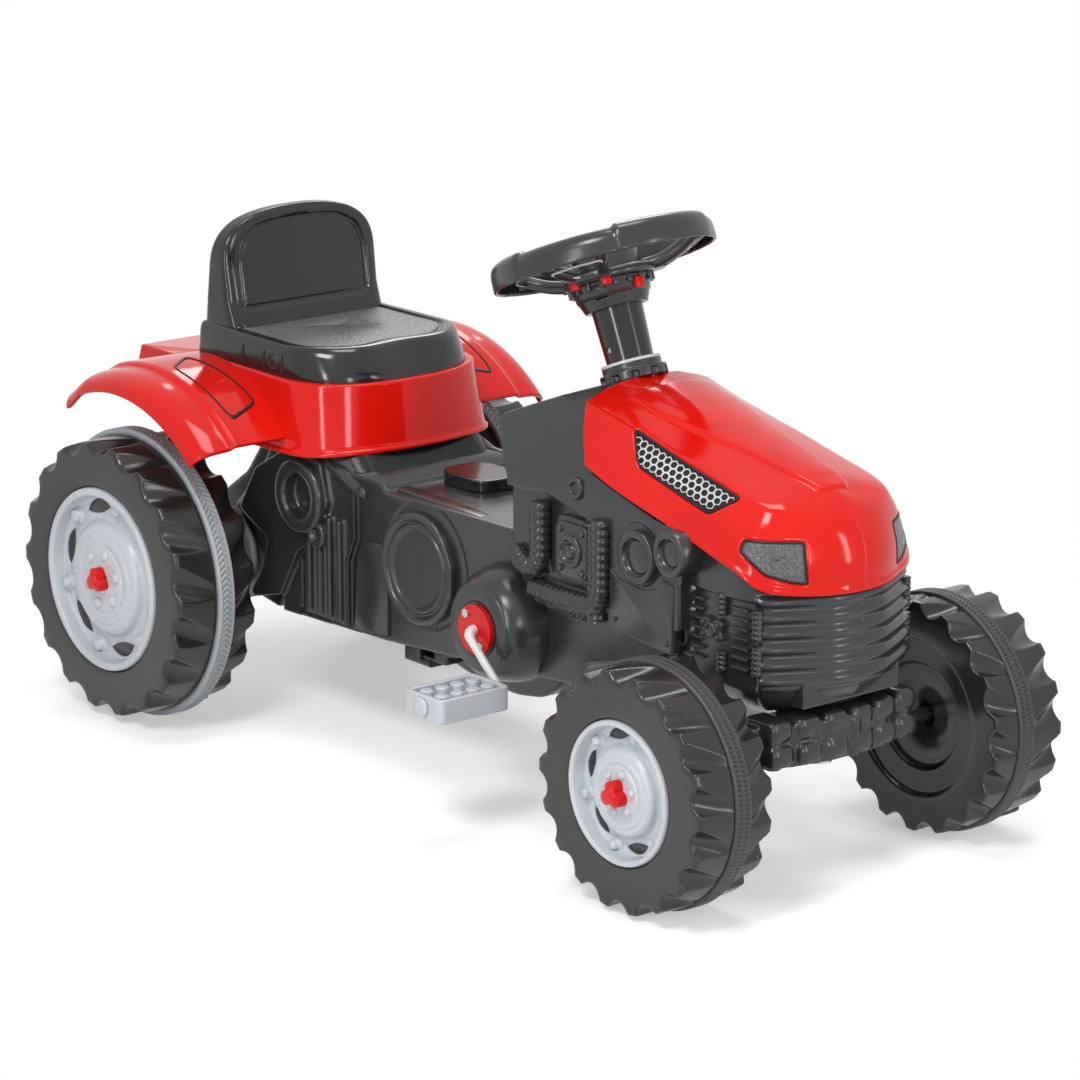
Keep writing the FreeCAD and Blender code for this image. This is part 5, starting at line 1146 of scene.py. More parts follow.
def backrest():
    """The wedge-shaped backrest: arched top, raised border and a sunk arched panel."""
    levels = 1 - (1 - np.linspace(0, 1, BACK_LEVELS)) ** BACK_CROWDING
    turn = full_turn(BACK_POINTS)
    rows = []
    for level in levels:
        arch = np.clip((level - ARCH_START) / (1 - ARCH_START), 0, 1)
        half = BACK_HALF * (1 - arch ** ARCH_POWER) ** (1 / ARCH_POWER)
        rear = np.interp(level, *BACK_REAR)
        front = np.interp(level, *BACK_FRONT)
        x = (front + rear) / 2 + (front - rear) / 2 * squared(np.cos(turn))
        flat = np.column_stack([x, half * squared(np.sin(turn))])
        rows.append(at_height(flat, SEAT_TOP - BACK_SINK + level * BACK_RISE))
    grid = np.array(rows)
    panel = smooth_line(rounded(BACK_PANEL, 8), 2, True)
    depth = inside_depth(grid[:, :, 1:].reshape(-1, 2), panel).reshape(grid.shape[:2])
    sunk = ease(depth, *STEP_SPAN) - FIELD_SHARE * ease(depth, *FIELD_SPAN)
    grid[:, :, 0] -= STEP_DEPTH * sunk * (np.cos(turn)[None, :] > 0.02)
    return capped_shape(grid)


def seat_pad():
    """The grained panel let into the seat's top."""
    panel = seat_ring(ring_line(SEAT_PLAN, SEAT_POINTS), PAD_INSET, 1.0)
    panel[:, 0] = np.maximum(panel[:, 0], PAD_BACK)
    rows = [at_height(shrunk(panel, SEAT_MIDDLE, share), SEAT_TOP + height) for share, height in PAD_ROWS]
    return ring_shape(rows)


def seat():
    shapes = [seat_base(), backrest()] + both(seat_details())
    shaped("seat_skin", shapes, SEAT, "chassis", "seat_black", ["seat"])
    shaped("seat_pad", [seat_pad()], PAD, "chassis", "seat_black")


# Chassis

CRANK_SPOT = (442.0, 170.0)
# Turned details of the right side: profile of radius and distance from the middle plane, x, z and segments
SIDE_DISC = [(53, 80), (53, 90.5), (52, 92), (47.5, 92.6), (46, 91.5), (45.4, 89.6), (42.6, 89.6), (42, 91.2),
             (41, 92), (38, 92), (37, 91), (36.5, 89.8), (34, 89.6), (0.5, 89.6)]
CRANK_BOSS = [(56, 78), (55, 88), (53, 99), (49.5, 110), (45, 118.5), (40, 123.5), (35, 125.2), (28, 125.6),
              (25, 125.2), (24, 123.0), (0.5, 123.0)]
SOCKET = [(36, 60), (36, 97), (35, 100), (33, 101.4), (24, 101.4), (22.5, 100), (21.8, 96), (21, 80),
          (14, 79), (13, 81), (5, 81), (4, 86), (0.5, 86.5)]
STUB = [(12.5, 60), (12.5, 97), (11.6, 98.6), (10, 99), (8, 98.6), (7.4, 95), (0.5, 95)]
CHASSIS_ROUNDS = [(SIDE_DISC, 309.0, 191.0, 90), (CRANK_BOSS, *CRANK_SPOT, 90), (SOCKET, 137.0, 228.0, 72),
                  (STUB, 163.0, 195.0, 40)]
FLANGE = [(12, 60), (30, 60), (31, 79), (46, 80.6), (47, 82), (47, 85), (46, 86.4), (40, 87), (39, 86.2),
          (26, 86.2), (25, 87), (12.5, 88), (12, 87)]
ARCH = [(211, 112), (216, 168), (221, 188), (231, 199), (243, 203), (262, 201)]
ARCH_END = (262, 116)
# The bracket's ribs: middle, foot and top
BRACKET_RIBS = [(129.0, 116, 161), (159.0, 115, 177), (186.0, 115, 194)]
DOUBLE_RIB = [oblong(210, 213.5, 199, 252), oblong(199, 202.5, 113, 178),
              [(199, 177), (202.5, 177), (213.5, 200), (210, 200)]]
DOUBLE_RIB_STEP = 7.0
BRACKET_BACK = [(8, 192), (52, 235), (70, 264), (118, 272), (160, 264), (178, 232), (166, 204), (141, 177),
                (107, 151), (92, 160), (60, 150), (36, 166)]
BRACKET_FOOT = [(48, 110), (84, 104), (114, 156), (90, 168)]
BEAD_PATH = [(168, -82, 264), (188, -84, 257), (206, -84, 250), (220, -81, 245), (226, -72, 244)]
LEDGE = [(262, 62), (430, 66), (430, 80), (262, 77)]
LEDGE_SLOPE = 0.02
TROUGH = [(284, 112), (292, 93), (330, 85), (395, 81), (432, 87), (456, 101), (470, 118), (470, 126),
          (284, 126)]
# The solids' round panel, which is flattened: x, z, radius and greatest distance from the middle plane
PANEL_SPOT = (318, 196, 60, 85.0)
# The pedestal, which is cut back to the tub's skirt: where it starts, greatest height, where the limit starts
PEDESTAL_BACK = 118
PEDESTAL_TOP = 278.0
PEDESTAL_LOW = 258.6
PEDESTAL_FRONT = 420
# The foot under the crank, which is moved back and made lower
FOOT_TOP = 102
FOOT_SPAN = (290, 430)
FOOT_MOVE = 12
FOOT_SHARE = 0.55
# The skirt that limits the pedestal: x at a height, then where and how far it curves back at the sides
SKIRT_SPOT = (224, 250)
SKIRT_SIDE = (58, 28)
SKIRT_CURVE = 26


def on_ledge(a, b, height):
    return a, -b, height - LEDGE_SLOPE * (a - LEDGE[0][0])


def chassis_shapes():
    """Crisp details of the chassis's right side."""
    shapes = [side_lathe(*detail) for detail in CHASSIS_ROUNDS]
    arch = np.concatenate([smooth_line(ARCH, 6), [ARCH_END]])
    shapes.append(plate(arch, 80, 90.0, on_right, 1.6))
    for x, low, high in BRACKET_RIBS:
        rib = [(x - 3, low), (x + 3, low), (x + 3, high), (x - 3, high + 3)]
        shapes.append(side_plate(rib, 60, 91.0, 1.5, 1.2))
    for shift in (0.0, DOUBLE_RIB_STEP):
        for line in DOUBLE_RIB:
            shapes.append(side_plate([(x + shift, z) for x, z in line], 80, 90.0, 0.6, 0.8))
    shapes.append(side_plate(BRACKET_BACK, 60, 80.0, 4, 2.0))
    shapes.append(side_plate(BRACKET_FOOT, 60, 84.0, 4, 2.4))
    shapes.append(tube(smooth_line(BEAD_PATH, 8), 7.5, 18))
    shapes.append(plate(rounded(LEDGE, 3), 240, 257.5, on_ledge, 1.5))
    return shapes


def chassis_sculpt(mesh):
    """Flatten the round panel, cut the pedestal back to the skirt and move the foot."""
    x, y, z = points_of(mesh).T
    disc_x, disc_z, radius, depth = PANEL_SPOT
    disc = np.hypot(x - disc_x, z - disc_z) < radius
    y = np.where(disc, np.clip(y, -depth, depth), y)
    beside = np.clip((np.abs(y) - SKIRT_SIDE[0]) / SKIRT_SIDE[1], 0, 1)
    z = np.where(x > PEDESTAL_BACK, np.minimum(z, PEDESTAL_TOP), z)
    limit = SKIRT_SPOT[0] - (z - SKIRT_SPOT[1]) - SKIRT_CURVE * beside ** 2
    x = np.where((z > PEDESTAL_LOW) & (x > limit) & (x < PEDESTAL_FRONT), limit, x)
    foot = (z < FOOT_TOP) & (x > FOOT_SPAN[0]) & (x < FOOT_SPAN[1])
    x = np.where(foot, x - FOOT_MOVE, x)
    z = np.where(foot, FOOT_TOP - FOOT_SHARE * (FOOT_TOP - z), z)
    set_points(mesh, np.stack([x, y, z], axis=1))


def chassis():
    shells = ["chassis_right_shell", "chassis_left_shell"]
    mesh = moulded("chassis_skin", [cad_mesh(node) for node in shells], 1.8, 3)
    chassis_sculpt(mesh)
    with_parts(mesh, both(chassis_shapes()) + [side_plate(TROUGH, -44.0, 44.0, 9, 4.0)])
    piece("chassis_skin", mesh, DARK, "chassis", "dark_plastic", shells)
    flanges = both([side_lathe(FLANGE, 0.0, AXLE_HEIGHT, 72)])
    shaped("axle_flanges", flanges, PALE, "chassis", "light_grey_plastic")


# Engine cowl and nose

NOSE_PLAN = [(672, 92), (720, 93), (752, 92.5), (767, 87.5), (778, 78), (790, 58), (802, 33), (806, 18),
             (808, 0)]
NOSE_EDGE = ([672, 700, 738, 757, 771, 781, 792, 810], [309, 300, 288, 280, 270, 266, 263.5, 263])
# The chin below the nose: drop and share of the plan
CHIN_ROWS = [(27, 0.74), (22, 0.82), (15, 0.90), (8, 0.955), (3, 0.988)]
NOSE_FOOT = 184.0
NOSE_RIB = 13.6
NOSE_FRONT_SPAN = (766.0, 773.0)
NOSE_MIDDLE = np.array([715.0, 0.0])
NOSE_INNER_SHARE = 0.93
NOSE_STEPS = 130
NOSE_BULGE = 5.0
RIB_HEIGHT = 2.6
RIB_CORNER_HEIGHT = 1.6
RIB_CORNER_SPAN = (30, 70)
SEAM_DEPTH = 0.8
SEAM_SPAN = (0.3, 1.4)
CHIN_OUT = 3.0
CHIN_IN = 4.0
PANEL_TOP = 258.0
PANEL_DEPTH = 4.5
PANEL_SPAN = (675, 678)


def nose_shape():
    """The nose: a sunk panel each side, a bulging ribbed front and a chin that draws in below."""
    half = even_line(smooth_line(NOSE_PLAN, 12), 170)
    plan = np.concatenate([half * np.array([1, -1]), half[-2::-1]])
    way = directions(plan)
    outward = np.stack([way[:, 1], -way[:, 0]], axis=1)
    front = ease(plan[:, 0], *NOSE_FRONT_SPAN)
    top = np.interp(plan[:, 0], *NOSE_EDGE)
    seam = 1 - ease(np.abs(plan[:, 1]), *SEAM_SPAN)
    height = RIB_HEIGHT + RIB_CORNER_HEIGHT * ease(np.abs(plan[:, 1]), *RIB_CORNER_SPAN)
    chin = plan + outward * (CHIN_OUT * front - CHIN_IN)[:, None]
    rows = [at_height(shrunk(chin, NOSE_MIDDLE, share), NOSE_FOOT - drop) for drop, share in CHIN_ROWS]
    for share in np.linspace(0, 1, NOSE_STEPS):
        z = NOSE_FOOT + (top - NOSE_FOOT) * share
        t = (((z - NOSE_FOOT) / NOSE_RIB) % 1.0) * 2 - 1
        ribbed = height * (0.5 * np.cos(math.pi * t) - 0.5) + NOSE_BULGE * (1 - share) - SEAM_DEPTH * seam
        sunk = (1 - ease(z, PANEL_TOP - 1.0, PANEL_TOP + 1.0)) * ease(plan[:, 0], *PANEL_SPAN)
        out = ribbed * front - (1.0 + PANEL_DEPTH * sunk) * (1 - front)
        rows.append(np.column_stack([plan + outward * out[:, None], z]))
    rows.append(np.column_stack([shrunk(rows[-1][:, :2], NOSE_MIDDLE, NOSE_INNER_SHARE), rows[-1][:, 2]]))
    count = len(plan)
    last = len(rows) - 1
    faces = grid_faces(len(rows), count)
    faces.append(list(range(count)))
    faces.append([last * count + i for i in range(count)][::-1])
    faces.append([r * count for r in range(last + 1)] + [r * count + count - 1 for r in range(last, -1, -1)])
    return np.concatenate(rows), faces


# Fittings on the nose's side panel
FIN_COUNT = 7
FIN_FOOT = 196.0
FIN_STEP = 8.6
# Two rows of fins: outline above a fin's foot, and face
FINS = [([(680, 0), (707, 0.6), (707, 3.4), (680, 2.8)], 91.0),
        ([(741, 1), (762, 1.4), (762, 4.0), (741, 3.6)], 90.4)]
LOBES = [(705, 219), (712, 216), (719, 219), (726, 216), (733, 219), (731, 226), (733, 233), (726, 236),
         (719, 233), (712, 236), (705, 233), (707, 226)]
LOBE_BOSS = [(7, 80), (7, 94.2), (6, 95), (4.4, 95), (3.8, 94), (0.5, 94)]
LOBE_BOLT = [(2.6, 85), (2.6, 94.6), (2.0, 95.2), (0.5, 95.4)]
LOBE_BOLTS = [(710, 231), (728, 231), (710, 220.5), (728, 220.5)]
# Upright coils: x, y, foot and top
COILS = [(731, -90, 241, 260), (731, -90, 192, 209), (770, -85.5, 226, 252), (770, -85.5, 195, 220)]
COIL_PITCH = 4.6
COIL_RADIUS = 5.2
COIL_LEAST = 0.84
COIL_SWELL = 0.18


def nose_fittings():
    """Fins, flange and small coils on the nose's side panel."""
    shapes = []
    for i in range(FIN_COUNT):
        for outline, face in FINS:
            fin = [(x, FIN_FOOT + FIN_STEP * i + rise) for x, rise in outline]
            shapes.append(side_plate(fin, 80, face, 1, 0.8))
    shapes.append(plate(smooth_line(LOBES, 4, True), 80, 93.0, on_right, 1.4))
    shapes.append(side_lathe(LOBE_BOSS, 719, 226, 32))
    shapes += [side_lathe(LOBE_BOLT, x, z, 18) for x, z in LOBE_BOLTS]
    run = np.linspace(0, 1, 60)
    for x, y, low, high in COILS:
        path = np.stack([x + 0 * run, y + 0 * run, low + (high - low) * run], axis=1)
        beats = (high - low) / COIL_PITCH
        swell = COIL_LEAST + COIL_SWELL * np.abs(np.sin(math.pi * beats * run))
        shapes.append(tube(path, COIL_RADIUS, 18, swell))
    return shapes


# Machinery on the cowl's side: hoses as (x, step inwards, z), then plates and turned details
HOSE_SIDE = -104.0
HOSE_RADIUS = 9.0
HOSE_PITCH = 7.4
HOSE_LEAST = 0.90
HOSE_SWELL = 0.16
HOSE_ROUND = 0.7
HOSES = [[(505, 0, 297), (505, 0, 262), (504, 0, 246), (497, 0, 236), (483, 0, 236), (465, 6, 242)],
         [(588, 0, 297), (588, 0, 252), (587, 0, 232), (581, 0, 220), (566, 0, 217), (530, 0, 216),
          (494, 3, 216)]]
PUMP_SPOT = (550, 261.5)
# The pump's plates: outline, foot, face, corner radius and edge
PUMP_PLATES = [(oblong(529, 571, 237, 286), 90, 106.5, 8, 1.6),
               (oblong(524, 576, 233, 290), 90, 102.0, 9, 1.4)]
PUMP_BOSS = [(15, 95), (15, 108), (14, 109.5), (11.5, 110), (10.5, 109), (10, 106.6), (6.5, 106.6), (6, 109),
             (5, 109.8), (0.5, 109.8)]
PUMP_BOLT = [(3.4, 100), (3.4, 107.8), (2.6, 109), (0.5, 109.2)]
# Cowl discs: x, z, radius and face, and their section as steps in from the radius and the face
COWL_DISCS = [(637, 274, 23.5, 108.0), (687, 288, 20.0, 114.0)]
DISC_STEPS = [(0, 1.5), (1, 0), (5.5, 0), (6.6, 1.2), (7.2, 5.0), (8.2, 5.0), (8.8, 4.0), (10, 3.6)]
DISC_FOOT = 80.0
COVER = [(599, 203), (683, 196), (683, 258), (668, 260), (660, 250), (640, 246), (610, 250), (599, 258)]
COVER_BOLT = [(2.4, 95), (2.4, 105.2), (1.8, 105.7), (0.5, 105.8)]
COVER_BOLTS = [(606, 212), (676, 205)]
COWL_SCREW = [(9.5, 95), (9.5, 103.6), (8.6, 104.4), (6.4, 104.4), (5.6, 103.4), (5.0, 99.5), (0.5, 99.5)]
COWL_SCREW_SPOT = (551, 318)


def hose(points):
    """A ribbed hose along a bent run."""
    path = even_line(smooth_line(points, 10), 150)
    wave = np.abs(np.sin(math.pi * run_of(path) / HOSE_PITCH))
    return tube(path, HOSE_RADIUS, 22, HOSE_LEAST + HOSE_SWELL * wave ** HOSE_ROUND)


def cowl_disc(x, z, size, face):
    profile = [(size, DISC_FOOT)] + [(size - r, face - d) for r, d in DISC_STEPS]
    return side_lathe(profile + [(0.5, profile[-1][1])], x, z, 64)


def cowl_fittings():
    """Machinery moulded on the engine's right side."""
    shapes = [hose([(x, HOSE_SIDE + step, z) for x, step, z in points]) for points in HOSES]
    shapes += [side_plate(*row) for row in PUMP_PLATES]
    x, z = PUMP_SPOT
    shapes.append(side_lathe(PUMP_BOSS, x, z, 48))
    shapes += [side_lathe(PUMP_BOLT, x + dx, z + dz, 20) for dx in (-15, 15) for dz in (-18, 18)]
    shapes += [cowl_disc(*disc) for disc in COWL_DISCS]
    shapes.append(side_plate(COVER, 90, 104.4, 4, 1.2))
    shapes += [side_lathe(COVER_BOLT, x, z, 18) for x, z in COVER_BOLTS]
    shapes.append(side_lathe(COWL_SCREW, *COWL_SCREW_SPOT, 36))
    return shapes


POCKET = [(452, 302), (507, 306), (598, 286), (598, 203), (470, 200), (452, 214)]
POCKET_DEPTH = 7.0
POCKET_EDGE = (-0.4, 1.8)
WALL_SPAN = (92, 98)
# The solids' discs, which are flattened: places, radius and greatest distance from the middle plane
FLAT_DISCS = [(637, 276), (677, 287)]
FLAT_RADIUS = 28
FLAT_SIDE = 101.0
# Where the plain front end starts to draw in below the nose's skin, and by how much
DRAW_SPAN = (690, 700)
DRAW_SHARE = 0.12


def cowl_sculpt(mesh):
    """Sink the pocket for pump and hoses, and draw the plain front end in below the nose's own skin."""
    x, y, z = points_of(mesh).T
    wall = ease(np.abs(y), *WALL_SPAN)
    pocket = ease(inside_depth(np.stack([x, z], axis=1), POCKET), *POCKET_EDGE) * wall
    y = y - np.sign(y) * POCKET_DEPTH * pocket
    for disc_x, disc_z in FLAT_DISCS:
        disc = np.hypot(x - disc_x, z - disc_z) < FLAT_RADIUS
        y = np.where(disc, np.clip(y, -FLAT_SIDE, FLAT_SIDE), y)
    y = y * (1 - DRAW_SHARE * ease(x, *DRAW_SPAN))
    x = x - DRAW_SHARE * np.maximum(x - DRAW_SPAN[0], 0)
    set_points(mesh, np.stack([x, y, z], axis=1))


def cowl():
    shells = ["engine_cowl_right", "engine_cowl_left"]
    mesh = moulded("cowl_skin", [cad_mesh(node) for node in shells], 1.5, 3)
    cowl_sculpt(mesh)
    with_parts(mesh, [nose_shape()] + both(nose_fittings() + cowl_fittings()))
    piece("cowl_skin", mesh, DARK, "chassis", "dark_plastic", shells)


# Front beam

BEAM_EDGES = [-87, -58, -29, 0, 29, 58, 87]
BEAM_GAP = 0.6
BEAM_FRONT = 797.0
BEAM_BOW = 12.0
BEAM_HALF = 98.0
BLOCK_DEPTH = 40.0
BLOCK_CORNER = 9
BLOCK_EDGE = 7.0
BLOCK_OVERLAP = 0.5
# Rows of blocks: foot, top and reach
BLOCK_ROWS = [(113, 135, 2.0), (136, 157, 0.0)]
# The beam's underside, which is raised between the wheels
BEAM_FLOOR = 116
BEAM_FLOOR_HALF = 90
BEAM_FLOOR_SHARE = 0.25


def beam_shapes():
    """Rounded blocks in two rows along the beam's front."""
    shapes = []
    for start, stop in zip(BEAM_EDGES, BEAM_EDGES[1:]):
        front = BEAM_FRONT - BEAM_BOW * ((start + stop) / 2 / BEAM_HALF) ** 2
        for low, high, reach in BLOCK_ROWS:
            block = oblong(front - BLOCK_DEPTH, front + reach, start + BEAM_GAP, stop - BEAM_GAP)
            outline = rounded(block, BLOCK_CORNER)
            level = (low + high) / 2
            shapes.append(plate(outline, level - BLOCK_OVERLAP, high, lying, BLOCK_EDGE))
            shapes.append(plate(outline, level + BLOCK_OVERLAP, low, lying, BLOCK_EDGE))
    return shapes


def beam():
    blocks = mesh_of("beam_blocks", beam_shapes())
    mesh = moulded("axle_beam_skin", [cad_mesh("front_axle_beam"), blocks], 1.3, 7)
    points = points_of(mesh)
    under = (points[:, 2] < BEAM_FLOOR) & (np.abs(points[:, 1]) < BEAM_FLOOR_HALF)
    raised = BEAM_FLOOR - BEAM_FLOOR_SHARE * (BEAM_FLOOR - points[:, 2])
    points[:, 2] = np.where(under, raised, points[:, 2])
    set_points(mesh, points)
    piece("axle_beam_skin", mesh, DARK, "front_axle", "dark_plastic", ["front_axle_beam"])


# Steering, built about the column: across, to the left, and up the column from the dash

COLUMN_TILT = math.radians(22.8)
DASH = np.array([511.0, 0.0, 392.0])
RIM_SECTION = [(101, 105), (101.2, 113), (100.6, 119), (98, 124), (93.5, 127), (88, 127.2), (84, 125.2),
               (81, 121), (80, 114), (80.2, 109), (82.6, 109), (83, 117), (85, 121), (89, 123.4),
               (94, 122.8), (97, 119), (98.2, 112), (98.4, 105)]
GRIP_HALF = 31.0
GRIP_EDGE = 1.2
# How much thicker the grips are, outwards and upwards, and where on the section
GRIP_OUT = 1.4
GRIP_OUT_SPAN = (92, 100)
GRIP_UP = 2.4
GRIP_UP_SPAN = (112, 124)
SPOKE_TURNS = (180.0, 60.0, -60.0)
# One of a spoke's two arms, then its plates: outline, corner radius, foot and top
SPOKE_ARM = [(30, 8, 97), (46, 13, 98), (62, 20, 103), (74, 28, 110), (84, 34, 116)]
SPOKE_PLATES = [([(28, -12), (52, -15), (52, 15), (28, 12)], 4, 92, 101),
                ([(74, -31), (86, -36), (86, 36), (74, 31)], 3, 107, 120)]
WEB_START = 36.0
WEB_SLOPE = 0.32
TRIM_START = 50
TRIM_FOOT = 95.5
TRIM_SLOPE = 0.30
TRIM_LINE = [(53, -10), (72, -24), (75, -12), (76, 0), (75, 12), (72, 24), (53, 10), (51, 0)]
HUB_PLATE = [(12, 90.5), (40, 90.5), (42, 92), (42, 97), (40, 99), (31, 99), (30.5, 100), (30.5, 113.5),
             (29.5, 115), (28, 115), (27.6, 113.5), (27.6, 99.5), (12, 99.5)]
HUB_LINING = [(30, 76), (33.4, 76), (36.6, 91), (33, 91)]
# Red tabs at the hub: turn, height and reach
HUB_TABS = [(-90.0, 88.0, 43.2), (-44.0, 85.0, 41.0), (2.0, 77.0, 39.4), (90.0, 82.0, 39.6),
            (136.0, 82.0, 39.6), (182.0, 82.0, 39.6)]
TAB_HALF = 4.6
TAB_HIGH = 9.5
HUB_CORE = 30
HUB_RIB = oblong(-2.2, 2.2, 83, 91.5)
HUB_RIB_REACH = 39.4
HUB_RIBS = 18
HUB_RIB_TURN = 8.0


def column_shapes(shapes):
    """Shapes built about the column, put in their places."""
    placed = []
    for points, faces in shapes:
        a, b, s = np.array(points, float).T
        x = a * math.cos(COLUMN_TILT) - s * math.sin(COLUMN_TILT)
        z = a * math.sin(COLUMN_TILT) + s * math.cos(COLUMN_TILT)
        placed.append((np.stack([x, b, z], axis=1) + DASH, faces))
    return placed


def turned(shape, degrees):
    turn = math.radians(degrees)
    a, b, s = np.array(shape[0], float).T
    x = a * math.cos(turn) - b * math.sin(turn)
    y = a * math.sin(turn) + b * math.cos(turn)
    return np.stack([x, y, s], axis=1), shape[1]


def steering_rim():
    """The hollow rim: a channel open below, thicker at the three grips."""
    section = smooth_line(RIM_SECTION, 4, True)
    degrees = np.linspace(-180, 180, 360, endpoint=False)
    from_grip = np.abs((degrees + 60) % 120 - 60)
    grip = 1 - ease(from_grip, GRIP_HALF - GRIP_EDGE, GRIP_HALF + GRIP_EDGE)
    turn = np.radians(degrees)
    rows = []
    for r, s in section:
        out = r + GRIP_OUT * ease(r, *GRIP_OUT_SPAN) * grip
        up = s + GRIP_UP * ease(s, *GRIP_UP_SPAN) * grip
        rows.append(np.stack([out * np.cos(turn), out * np.sin(turn), up], axis=1))
    return ring_shape(rows)


def hub_ring(profile):
    """A closed ring about the column from a profile of radius and height."""
    turn = full_turn(96)
    ring = np.stack([np.cos(turn), np.sin(turn)], axis=1)
    return ring_shape([at_height(r * ring, s) for r, s in profile])


def on_web(a, b, height):
    return a, b, height + WEB_SLOPE * (a - WEB_START)


def on_hub(a, b, height):
    return height, a, b


def spoke_shapes():
    """One spoke: two flared arms round a D-shaped opening, with a web below."""
    shapes = [tube(smooth_line([(a, b * side, s) for a, b, s in SPOKE_ARM], 6), 6.0, 16) for side in (-1, 1)]
    for line, radius, low, high in SPOKE_PLATES:
        shapes.append(plate(rounded(line, radius), low, high, lying, 1.5))
    web = [(WEB_START, -2.5), (78, -2.5), (78, 2.5), (WEB_START, 2.5)]
    shapes.append(plate(rounded(web, 1), 99, 93, on_web, 0.8))
    return shapes


def spoke_trim():
    """The pale edge of a spoke's opening."""
    outline = smooth_line(TRIM_LINE, 8, True)
    path = np.column_stack([outline, TRIM_FOOT + TRIM_SLOPE * (outline[:, 0] - TRIM_START)])
    return tube(np.concatenate([path, path[:1]]), 1.0, 10)


def hub_tab(angle, low, reach):
    outline = rounded(oblong(-TAB_HALF, TAB_HALF, low, low + TAB_HIGH), 1.2)
    return turned(plate(outline, HUB_CORE, reach, on_hub, 1.0), angle)


def steering():
    shapes = [steering_rim(), hub_ring(HUB_PLATE)]
    for angle in SPOKE_TURNS:
        shapes += [turned(shape, angle) for shape in spoke_shapes()]
    shaped("steering_wheel_skin", column_shapes(shapes), DARK, "steering", "dark_plastic", ["steering_wheel"])
    trims = [turned(spoke_trim(), angle) for angle in SPOKE_TURNS]
    shaped("steering_trim", column_shapes(trims), PALE, "steering", "light_grey_plastic")
    tabs = [hub_tab(*tab) for tab in HUB_TABS]
    shaped("hub_tabs", column_shapes(tabs), CAP, "steering", "cap_red")
    rib = plate(rounded(HUB_RIB, 0.8), HUB_CORE, HUB_RIB_REACH, on_hub, 0.8)
    ribs = [turned(rib, 360 / HUB_RIBS * i + HUB_RIB_TURN) for i in range(HUB_RIBS)]
    hub = moulded("steering_hub_skin", [cad_mesh("steering_hub")], 0.8, 3)
    with_parts(hub, column_shapes(ribs + [hub_ring(HUB_LINING)]))
    piece("steering_hub_skin", hub, DARK, "steering", "dark_plastic", ["steering_hub"])


# Crank, pedals and small mouldings

PEDAL_TURN = math.radians(-41.0)
PEDAL_REACH = 64.0
CRANK_ARM = 138.0
CRANK_STEP = 190.0
CRANK_END = 229.0
CRANK_BEND = 9.0
CRANK_RADIUS = 5.0
# Where the arms are thinner, and by what share
ARM_START = (3, 12)
ARM_END = (54, 62)
ARM_THINNING = 0.26
PEDAL_CAP = [(9, 225.8), (9, 227.8), (8.2, 228.8), (5.6, 229.4), (0.5, 229.6)]


def on_crank(reach):
    """X and Z of places along the crank's arms."""
    return CRANK_SPOT[0] + reach * math.cos(PEDAL_TURN), CRANK_SPOT[1] + reach * math.sin(PEDAL_TURN)


def crank_bar():
    """The bent crank, drawn thinner along its two arms."""
    right = [(PEDAL_REACH, -CRANK_END), (PEDAL_REACH, -CRANK_ARM), (0.0, -CRANK_ARM)]
    left = [(0.0, CRANK_ARM), (-PEDAL_REACH, CRANK_ARM), (-PEDAL_REACH, CRANK_END)]
    corners = np.array(right + left)
    line = [corners[0], (PEDAL_REACH, -CRANK_STEP)]
    for before, spot, after in zip(corners, corners[1:], corners[2:]):
        first = (before - spot) / np.linalg.norm(before - spot) * CRANK_BEND
        second = (after - spot) / np.linalg.norm(after - spot) * CRANK_BEND
        for angle in np.linspace(0, math.pi / 2, 8):
            line.append(spot + first * (1 - math.sin(angle)) + second * (1 - math.cos(angle)))
    line += [(-PEDAL_REACH, CRANK_STEP), corners[-1]]
    reach, y = even_line(np.array(line), 160).T
    x, z = on_crank(reach)
    thin = ease(np.abs(reach), *ARM_START) * (1 - ease(np.abs(reach), *ARM_END))
    return tube(np.stack([x, y, z], axis=1), CRANK_RADIUS, 24, 1 - ARM_THINNING * thin)


def pedal_caps():
    """Flat caps at the pedals' outer ends."""
    right = side_lathe(PEDAL_CAP, *on_crank(PEDAL_REACH), 36)
    left = side_lathe(PEDAL_CAP, *on_crank(-PEDAL_REACH), 36)
    return [right, turned_over(left)]


def small_mouldings():
    for name, node, material, body, slot, voxel in (
            ("pedal_right_skin", "pedal_right", PALE, "pedal_right", "light_grey_plastic", 0.8),
            ("pedal_left_skin", "pedal_left", PALE, "pedal_left", "light_grey_plastic", 0.8),
            ("tunnel_cap_skin", "tunnel_cap", SEAT, "chassis", "seat_black", 1.0),
            ("collar_skin", "column_collar", DARK, "chassis", "dark_plastic", 0.7)):
        piece(name, moulded(name, [cad_mesh(node)], voxel, 3), material, body, slot, [node])
    shaped("crank_bar", [crank_bar()], WHITE, "crank", "white_paint", ["crank_rod"])
    shaped("pedal_caps", pedal_caps(), PALE, "crank", "light_grey_plastic", ["pedal_push_nuts"])


def carried_over():
    """Give the solids that stay in view their finishes."""
    finishes = {"light_grey_plastic": PALE, "dark_plastic": DARK, "seat_black": SEAT, "cap_red": CAP,
                "steel": STEEL, "white_paint": WHITE, "red_plastic": RED, "vent_black": BLACK,
                "lamp_grey": LAMP, "tyre_plastic": TYRE, "rear_band": BAND, "front_band": DARK_BAND}
    for row in frame["record"]["subparts"]:
        node = frame["nodes"][row["node"]]
        node.data.materials.clear()
        node.data.materials.append(finishes[row["material_slot"]])


# Floor, light and camera, in metres

FLOOR_SIZE = 40.0
FLOOR_GREY = (0.84, 0.84, 0.84, 1.0)
FLOOR_LIFT = 0.40
